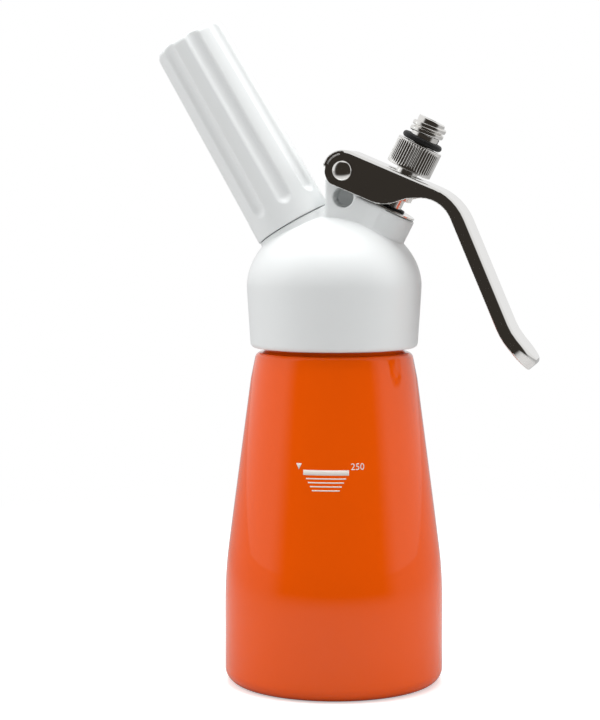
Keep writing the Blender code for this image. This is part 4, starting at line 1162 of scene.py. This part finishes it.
class DISPENSER_OT_lever(Operator):
    """Press the sheet lever: plate, cheeks, bend, grip and kicked tip"""
    bl_idname = "dispenser.lever"
    bl_label = "Lever"

    def execute(self, context):
        size = context.scene.dispenser_lever
        add_carved("pressed_lever", "lever", size.grain, self.distance(size), "lever", "chromed_steel")
        return {"FINISHED"}

    def distance(self, size):
        """The lever's surface, as a function that gives each point's distance to it."""
        place = Matrix.Translation(pivot) @ Matrix.Rotation(size.slope, 4, "Y") @ side_view
        inward = place.inverted()
        turn, shift = np.array(inward.to_3x3()).T, np.array(inward.translation)
        points = [inward @ vertex.co for vertex in frame["nodes"]["lever"].data.vertices]
        spare = 2 * size.sheet
        low = (min(point.x for point in points) - spare, min(point.y for point in points) - spare)
        high = (max(point.x for point in points) + spare, max(point.y for point in points) + spare)
        outer_side = flat_field(self.side(size, 0, False), low, high)
        inner_side = flat_field(self.side(size, size.sheet, True), low, high)
        under = flat_field(self.cheek_edge(size), low, high)
        tip = self.back(size, 0)[-1]
        heading = size.kick_angle - size.bend_angle
        half = size.half_width
        inner_round = max(size.edge_round - size.sheet, size.cut_round)
        slot_half = size.slot_length / 2 - size.slot_half

        def solid(points):
            x, y, z = (points @ turn + shift).T
            width = np.abs(z)
            past_tip = (x - tip[0]) * math.cos(heading) + (y - tip[1]) * math.sin(heading)
            plan = round_max(past_tip, width - half, size.tip_round)
            plate = eased(np.clip((x + size.fold_reach) / size.sheet + 0.5, 0, 1))
            outer_round = size.fold_round + (size.edge_round - size.fold_round) * plate
            body = round_max(outer_side(x, y), plan, outer_round)
            plan = round_max(past_tip + size.sheet, width - half + size.sheet, size.tip_round - size.sheet)
            body = round_max(body, -round_max(inner_side(x, y), plan, inner_round), size.cut_round)
            body = round_max(body, -under(x, y), size.cut_round)
            slot = np.hypot(np.maximum(np.abs(x - size.slot_place) - slot_half, 0), z) - size.slot_half
            slot = np.maximum(slot, size.end_radius / 2 - y)
            reach = np.hypot(x, y)
            body = round_max(body, -slot, size.cut_round / 2)
            body = round_max(body, size.pin_hole - reach, size.cut_round / 2)
            seam = np.hypot(reach - size.seam_radius, width - half) - size.seam_round
            seam = np.where((x < -size.fold_reach) & (y > 0), seam, size.sheet)
            return np.maximum(body, -seam)

        return solid

    def back(self, size, inset):
        """Corners of the outer line in side view, from the bend to the tip, moved inwards."""
        grip_heading = -size.bend_angle
        tip_heading = size.kick_angle - size.bend_angle
        bend_reach = size.bend_radius * math.tan(size.bend_angle / 2)
        kick_reach = size.kick_radius * math.tan(size.kick_angle / 2)
        bend = (size.plate_length + bend_reach, size.end_radius)
        kick = ahead(bend, grip_heading, bend_reach + size.grip_length + kick_reach)
        tip = ahead(kick, tip_heading, kick_reach + size.tip_length)
        grip_side = ahead(bend, grip_heading - math.pi / 2, inset)
        tip_side = ahead(tip, tip_heading - math.pi / 2, inset)
        bend_in = line_meet((0, size.end_radius - inset), 0, grip_side, grip_heading)
        kick_in = line_meet(grip_side, grip_heading, tip_side, tip_heading)
        return [(*bend_in, size.bend_radius - inset), (*kick_in, size.kick_radius + inset), tip_side]

    def side(self, size, inset, open_end):
        """Side view of the lever without its cheeks' lower edge, moved inwards and run past the tip."""
        end = size.end_radius - inset
        deep = 2 * (size.plate_length + size.grip_length + size.tip_length)
        start = [(-end, -deep)]
        if open_end:
            start = [(-2 * size.end_radius, -deep), (-2 * size.end_radius, -size.lip), (-end, -size.lip)]
        bend, kick, tip = self.back(size, inset)
        past_tip = ahead(tip, size.kick_angle - size.bend_angle, size.tip_length)
        return rounded(start + [(-end, end, end), bend, kick, past_tip, (past_tip[0], -deep)])

    def cheek_edge(self, size):
        """Lower edge of the cheeks in side view, closed far below, as the outline of what is cut away."""
        deep = 3 * (size.plate_length + size.grip_length + size.tip_length)
        bend, kick, _ = self.back(size, size.flange_depth)
        foot = (size.cheek_length, -size.cheek_foot)
        top = ahead(foot, size.cheek_rise_angle, size.cheek_rise)
        crest = line_meet(top, size.cheek_run_angle, bend[:2], -size.bend_angle)
        past_tip = ahead(kick[:2], size.kick_angle - size.bend_angle, deep)
        turns = [math.pi + math.asin(drop / size.cheek_end) for drop in (size.lip, size.cheek_foot)]
        corners = arc(size.cheek_end, *turns)
        corners += [(*foot, size.foot_fillet), (*top, size.top_fillet), (*crest, size.bend_fillet), kick]
        corners += [past_tip, (past_tip[0], -deep), (-deep, -deep), (-deep, -size.lip)]
        return rounded(corners)


class DISPENSER_OT_rivet(Operator):
    """Turn the lever's rivet, with a low dome at both ends"""
    bl_idname = "dispenser.rivet"
    bl_label = "Lever rivet"

    def execute(self, context):
        size = context.scene.dispenser_valve
        place = Matrix.Translation(pivot) @ side_view
        seat = span("lever_pin", place)[1] - size.pin_head_height
        lowered = size.pin_head_height / size.pin_head
        dome = [(x, seat + y * lowered) for x, y in arc(size.pin_head, math.pi / 2, 0)]
        dome[0] = (0, seat + size.pin_head_height)
        upper = dome + [(size.pin_radius, seat)]
        lower = [(radius, -height) for radius, height in reversed(upper)]
        shape = turned(upper + lower, place, small_turn_steps)
        add_piece(shape, "rivet", "head", "nickel", ["lever_pin"])
        return {"FINISHED"}


class DISPENSER_OT_nuts(Operator):
    """Make the two hexagon nuts and the valve's spring"""
    bl_idname = "dispenser.nuts"
    bl_label = "Nuts and spring"

    def execute(self, context):
        size = context.scene.dispenser_valve
        self.add_nut(size, "nut", "press_nut", valve, size.nut_flats)
        self.add_nut(size, "inner_nut", "stud_nut", holder, size.stud_nut_flats)
        self.add_spring(size)
        return {"FINISHED"}

    def add_spring(self, size):
        """The coil under the stem."""
        foot, top, inner, outer = span("valve_spring", valve)
        wire_sides = 16
        wire = size.spring_wire / 2
        pitch = (top - foot - 2 * wire) / size.spring_curls
        shape = bmesh.new()
        wind_thread(shape, circle(wire, ((inner + outer) / 2, wire), wire_sides), pitch, foot,
                    size.spring_curls, valve, taper=0.01)
        add_piece(shape, "coil", body_of("valve_spring"), "spring_steel", ["valve_spring"])

    def add_nut(self, size, name, node_name, place, flats):
        """A hexagon nut: a prism cut to a turned chamfer and bore, with its edges rounded."""
        foot, top, bore, _ = span(node_name, place)
        half, flat = (top - foot) / 2, flats / 2
        middle = place @ Matrix.Translation((0, 0, (foot + top) / 2))
        corner = flat / math.cos(math.pi / 6)
        shape = prism(circle(corner, sides=6), half, middle)
        nut = add_piece(shape, name, body_of(node_name), "nickel", [node_name])
        chamfer = size.nut_chamfer
        inset = chamfer / math.tan(math.radians(30)) / 2
        profile = [(bore, half + inset), (flat, half), (corner + inset, half - chamfer),
                   (corner + inset, chamfer - half), (flat, -half), (bore, -half - inset)]
        cut_to(nut, placed(finished(turned(profile, middle, closed=True), "cutter"), "cutter"))


class DISPENSER_OT_turned_parts(Operator):
    """Turn the sleeve, the stem, the charger stud, the seals and the other round parts, with soft edges"""
    bl_idname = "dispenser.turned_parts"
    bl_label = "Turned parts"

    def execute(self, context):
        size = context.scene.dispenser_valve
        slots = {row["node"]: row["material_slot"] for row in frame["record"]["subparts"]}
        for name, place in round_solids.items():
            corners, closed = section(name, place)
            threaded = name == "charger_stud"
            if threaded:
                corners, thread = self.sink_thread(corners, size.charger_thread_depth)
            shortest = min(math.dist(a, b) for a, b in zip(corners, corners[1:]))
            edge = min(size.edge, shortest / 3)
            profile = rounded([(radius, height, edge) for radius, height in corners], closed=closed)
            shape = turned(profile, place, small_turn_steps, closed=closed)
            if threaded:
                self.add_thread(shape, size, *thread)
            add_piece(shape, name + "_turned", body_of(name), slots[name], [name])
        return {"FINISHED"}

    def sink_thread(self, corners, depth):
        """The stud's corners with its threaded side at the thread's root, and that side's sizes."""
        crest, top = max(corner for corner in corners if corner[1] > -depth)
        foot = max(height for radius, height in corners if radius > crest + weld_distance)
        sunk = []
        for radius, height in corners:
            on_side = crest - depth < radius < crest + weld_distance and height > foot - weld_distance
            sunk.append((radius - depth if on_side else radius, height))
        return sunk, (crest - depth, crest, foot, top)

    def add_thread(self, shape, size, root, crest, foot, top):
        """The thread that the holder screws on."""
        pitch = size.charger_thread_pitch
        half = pitch * 0.45
        ridge = [(root - size.edge, -half), (crest, -half / 4), (crest, half / 4), (root - size.edge, half)]
        wind_thread(shape, ridge, pitch, foot + half, (top - foot - 2 * half) / pitch, holder)


class DISPENSER_OT_adapter(Operator):
    """Turn the tip adapter: knurled ring, spigot with its rounded thread, and the black ring at its foot"""
    bl_idname = "dispenser.adapter"
    bl_label = "Tip adapter"

    def execute(self, context):
        size = context.scene.dispenser_valve
        self.add_adapter(size)
        self.add_ring(size)
        return {"FINISHED"}

    def add_adapter(self, size):
        """The knurled ring and the spigot, in one piece."""
        foot, top, inner, _ = span("tip_adapter", valve)
        knurl_top = foot + size.knurl_height
        rows, rib_faces = 12, 12
        ribbed = size.knurl_height - 2 * size.knurl_rim
        side = [(size.knurl_radius, foot + size.knurl_rim + ribbed * i / rows) for i in range(rows + 1)]
        outside = [(inner, foot, size.edge), (size.knurl_radius, foot, size.knurl_rim / 2)] + side
        outside += [(size.knurl_radius, knurl_top, size.knurl_rim / 2),
                    (size.spigot_radius, knurl_top, size.edge),
                    (size.spigot_radius, top, size.spigot_edge), (size.spigot_bore, top, size.edge),
                    (size.spigot_bore, knurl_top), (inner, knurl_top)]
        shape = turned(rounded(outside, closed=True), steps=size.knurl_count * rib_faces, closed=True)
        for vert in shape.verts:
            self.knurl(vert, size, foot, knurl_top)
        half = size.tip_thread_width / 2
        flat = half * 0.75
        crest, sunk = size.tip_thread_radius, size.spigot_radius - size.edge
        ridge = rounded([(sunk, -half), (crest, -flat, half / 2), (crest, flat, half / 2), (sunk, half)])
        start = knurl_top + 2 * size.ring_section + half
        turns = (top - half - start) / size.tip_thread_pitch
        wind_thread(shape, ridge, size.tip_thread_pitch, start, turns, steps=turn_steps, taper=0.2)
        bmesh.ops.transform(shape, matrix=valve, verts=shape.verts)
        add_piece(shape, "turned_adapter", "tip_adapter", "nickel", ["tip_adapter"])

    def add_ring(self, size):
        """The black ring at the spigot's foot."""
        foot, top, _, outer = span("adapter_seal_ring", valve)
        centre = (outer - size.ring_section, (foot + top) / 2)
        shape = turned(circle(size.ring_section, centre), valve, small_turn_steps, closed=True)
        add_piece(shape, "black_ring", "adapter_seal", "black_rubber", ["adapter_seal_ring"])

    def knurl(self, vert, size, foot, top):
        """Move a point of the ring's side in between two ribs."""
        radius = math.hypot(vert.co.x, vert.co.y)
        low, high = foot + size.knurl_rim, top - size.knurl_rim
        if radius > size.knurl_radius - size.edge and low < vert.co.z < high:
            rib = abs(math.sin(size.knurl_count * math.atan2(vert.co.y, vert.co.x) / 2))
            vert.co.xy *= 1 - size.knurl_depth * (1 - rib) / radius


class DISPENSER_OT_stage(Operator):
    """Set the pale floor, the lamps and the camera"""
    bl_idname = "dispenser.stage"
    bl_label = "Stage"

    def execute(self, context):
        stage = context.scene.dispenser_stage
        self.add_floor(stage)
        self.add_world(context, stage)
        self.add_lamps(stage)
        self.add_card(stage)
        self.add_camera(context, stage)
        context.scene.view_settings.view_transform = "Standard"
        return {"FINISHED"}

    def add_floor(self, stage):
        """A round pale floor that runs far behind the object and turns to plain white."""
        shape = bmesh.new()
        bmesh.ops.create_circle(shape, cap_ends=True, segments=small_turn_steps, radius=stage.floor_radius)
        tree, _ = self.add_backdrop(shape, "floor")
        camera, seen = self.ray_kinds(tree)
        bounce = node(tree, "ShaderNodeBsdfDiffuse", {"Color": (*stage.bounce, 1)})
        matte = node(tree, "ShaderNodeBsdfDiffuse", {"Color": (*stage.paper, 1)})
        glow = node(tree, "ShaderNodeMath", {0: camera, 1: stage.glow}, operation="MULTIPLY")
        glow = node(tree, "ShaderNodeEmission", {"Strength": glow.outputs[0]})
        lit = node(tree, "ShaderNodeAddShader", {0: matte.outputs[0], 1: glow.outputs[0]})
        near = node(tree, "ShaderNodeMixShader", {0: camera, 1: bounce.outputs[0], 2: lit.outputs[0]})
        white = node(tree, "ShaderNodeMath", {0: camera, 1: stage.mirrored_floor}, operation="MAXIMUM")
        white = node(tree, "ShaderNodeEmission", {"Strength": white.outputs[0]})
        place = node(tree, "ShaderNodeTexCoord").outputs["Object"]
        reach = node(tree, "ShaderNodeVectorMath", {0: place}, operation="LENGTH").outputs["Value"]
        limits = {"Value": reach, "From Min": stage.glow_start, "From Max": stage.glow_end}
        fade = node(tree, "ShaderNodeMapRange", limits, interpolation_type="SMOOTHSTEP")
        shown = node(tree, "ShaderNodeMixShader", {0: fade.outputs["Result"], 1: near.outputs[0],
                                                   2: white.outputs[0]})
        pick = node(tree, "ShaderNodeMixShader", {0: seen, 1: bounce.outputs[0], 2: shown.outputs[0]})
        node(tree, "ShaderNodeOutputMaterial", {"Surface": pick.outputs[0]})

    def add_backdrop(self, shape, name):
        """Turn a shape into a part of the stage, and return its material's empty tree and itself."""
        thing = placed(finished(shape, name), name)
        paint = bpy.data.materials.new(name + "_paint")
        paint.use_nodes = True
        paint.node_tree.nodes.clear()
        thing.data.materials.append(paint)
        return paint.node_tree, thing

    def ray_kinds(self, tree):
        """One for rays from the camera, and one for those from the camera, gloss and glass."""
        path = node(tree, "ShaderNodeLightPath").outputs
        seen = path["Is Camera Ray"]
        for kind in ("Is Glossy Ray", "Is Transmission Ray"):
            seen = node(tree, "ShaderNodeMath", {0: seen, 1: path[kind]}, operation="MAXIMUM").outputs[0]
        return path["Is Camera Ray"], seen

    def add_world(self, context, stage):
        """Even light from all round, and white where the camera, gloss or glass looks."""
        world = bpy.data.worlds.new("studio")
        context.scene.world = world
        world.use_nodes = True
        tree = world.node_tree
        tree.nodes.clear()
        camera, seen = self.ray_kinds(tree)
        fill = node(tree, "ShaderNodeBackground", {"Color": (*stage.paper, 1), "Strength": stage.fill})
        white = node(tree, "ShaderNodeMath", {0: camera, 1: stage.mirrored}, operation="MAXIMUM")
        white = node(tree, "ShaderNodeBackground", {"Color": (1, 1, 1, 1), "Strength": white.outputs[0]})
        pick = node(tree, "ShaderNodeMixShader", {0: seen, 1: fill.outputs[0], 2: white.outputs[0]})
        node(tree, "ShaderNodeOutputWorld", {"Surface": pick.outputs[0]})

    def add_lamps(self, stage):
        """Soft lamps: one high on the left, one on the right and one above."""
        aim = Vector((0, 0, stage.lamp_aim))
        for name, place, watts in (("key_lamp", stage.key_place, stage.key_power),
                                   ("side_lamp", stage.side_place, stage.side_power),
                                   ("top_lamp", stage.top_place, stage.top_power)):
            lamp = bpy.data.lights.new(name, "AREA")
            lamp.shape = "SQUARE"
            lamp.size = stage.lamp_width
            lamp.energy = watts
            thing = placed(lamp, name)
            thing.location = place
            thing.rotation_euler = (Vector(place) - aim).to_track_quat("Z", "Y").to_euler()
            thing.visible_glossy = False

    def add_card(self, stage):
        """A dark card on the floor and upright round the camera, with soft edges, which only gloss sees."""
        columns, rows = 60, 12
        fade = stage.card_full - stage.card_near
        reaches = [stage.card_near + fade * j / rows for j in range(rows + 1)] + [stage.card_radius]
        profile = [(reach, mm) for reach in reaches] + [(stage.card_radius, stage.card_top)]
        shape = bmesh.new()
        turn = stage.camera_turn - stage.card_half
        line = [shape.verts.new((reach * math.sin(turn), -reach * math.cos(turn), height))
                for reach, height in profile]
        edges = [shape.edges.new(pair) for pair in zip(line, line[1:])]
        bmesh.ops.spin(shape, geom=line + edges, cent=(0, 0, 0), axis=(0, 0, 1), dvec=(0, 0, 0),
                       angle=2 * stage.card_half, steps=columns, use_merge=False, use_duplicate=False)
        veil = shape.verts.layers.float.new("veil")
        for vert in shape.verts:
            offset = abs(math.atan2(vert.co.x, -vert.co.y) - stage.camera_turn)
            side = min(1.0, max(0.0, stage.card_half - offset) / stage.card_soft)
            full = min(1.0, (vert.co.xy.length - stage.card_near) / fade)
            vert[veil] = eased(side) * eased(full)
        tree, card = self.add_backdrop(shape, "dark_card")
        card.visible_camera = False
        card.visible_diffuse = False
        card.visible_shadow = False
        card.visible_transmission = False
        dark = node(tree, "ShaderNodeEmission", {"Color": (*stage.card, 1)})
        clear = node(tree, "ShaderNodeBsdfTransparent")
        amount = node(tree, "ShaderNodeAttribute", attribute_name="veil")
        both = node(tree, "ShaderNodeMixShader", {0: amount.outputs["Fac"], 1: clear.outputs[0],
                                                  2: dark.outputs[0]})
        node(tree, "ShaderNodeOutputMaterial", {"Surface": both.outputs[0]})

    def add_camera(self, context, stage):
        """The camera, at the place that the photograph was taken from."""
        lens = bpy.data.cameras.new("camera")
        lens.sensor_fit = "VERTICAL"
        lens.sensor_height = 36.0
        lens.lens = lens.sensor_height * stage.focal_pixels / stage.frame_height
        camera = placed(lens, "camera")
        turn, pitch = stage.camera_turn, stage.camera_pitch
        camera.location = (stage.camera_distance * math.sin(turn), -stage.camera_distance * math.cos(turn),
                           stage.camera_height)
        yaw = math.atan(stage.axis_offset * math.cos(pitch) / stage.focal_pixels)
        heading = Matrix.Rotation(turn + yaw, 3, "Z") @ Vector((0, math.cos(pitch), -math.sin(pitch)))
        camera.rotation_euler = heading.to_track_quat("-Z", "Y").to_euler()
        context.scene.camera = camera


class DISPENSER_PT_panel(Panel):
    """Sizes, colours and the steps that make the model"""
    bl_idname = "DISPENSER_PT_panel"
    bl_label = "Whipped cream dispenser"
    bl_space_type = "VIEW_3D"
    bl_region_type = "UI"
    bl_category = "Dispenser"

    def draw(self, context):
        for operator in operators:
            self.layout.operator(operator.bl_idname)
        for name, group in size_groups.items():
            column = self.layout.column(align=True)
            for prop in group.__annotations__:
                column.prop(getattr(context.scene, name), prop)


operators = [
    DISPENSER_OT_bottle,
    DISPENSER_OT_fill_mark,
    DISPENSER_OT_head,
    DISPENSER_OT_holder,
    DISPENSER_OT_lever,
    DISPENSER_OT_rivet,
    DISPENSER_OT_nuts,
    DISPENSER_OT_turned_parts,
    DISPENSER_OT_adapter,
    DISPENSER_OT_stage,
]


def register():
    """Register the sizes, the operators and the panel."""
    for group in size_groups.values():
        bpy.utils.register_class(group)
    for name, group in size_groups.items():
        setattr(bpy.types.Scene, name, PointerProperty(type=group))
    for operator in operators:
        bpy.utils.register_class(operator)
    bpy.utils.register_class(DISPENSER_PT_panel)


def unregister():
    """Take them all back."""
    bpy.utils.unregister_class(DISPENSER_PT_panel)
    for operator in reversed(operators):
        bpy.utils.unregister_class(operator)
    for name, group in size_groups.items():
        delattr(bpy.types.Scene, name)
        bpy.utils.unregister_class(group)


def main():
    """Make the whole model."""
    register()
    for operator in operators:
        group, action = operator.bl_idname.split(".")
        getattr(getattr(bpy.ops, group), action)()


if __name__ == "__main__":
    main()
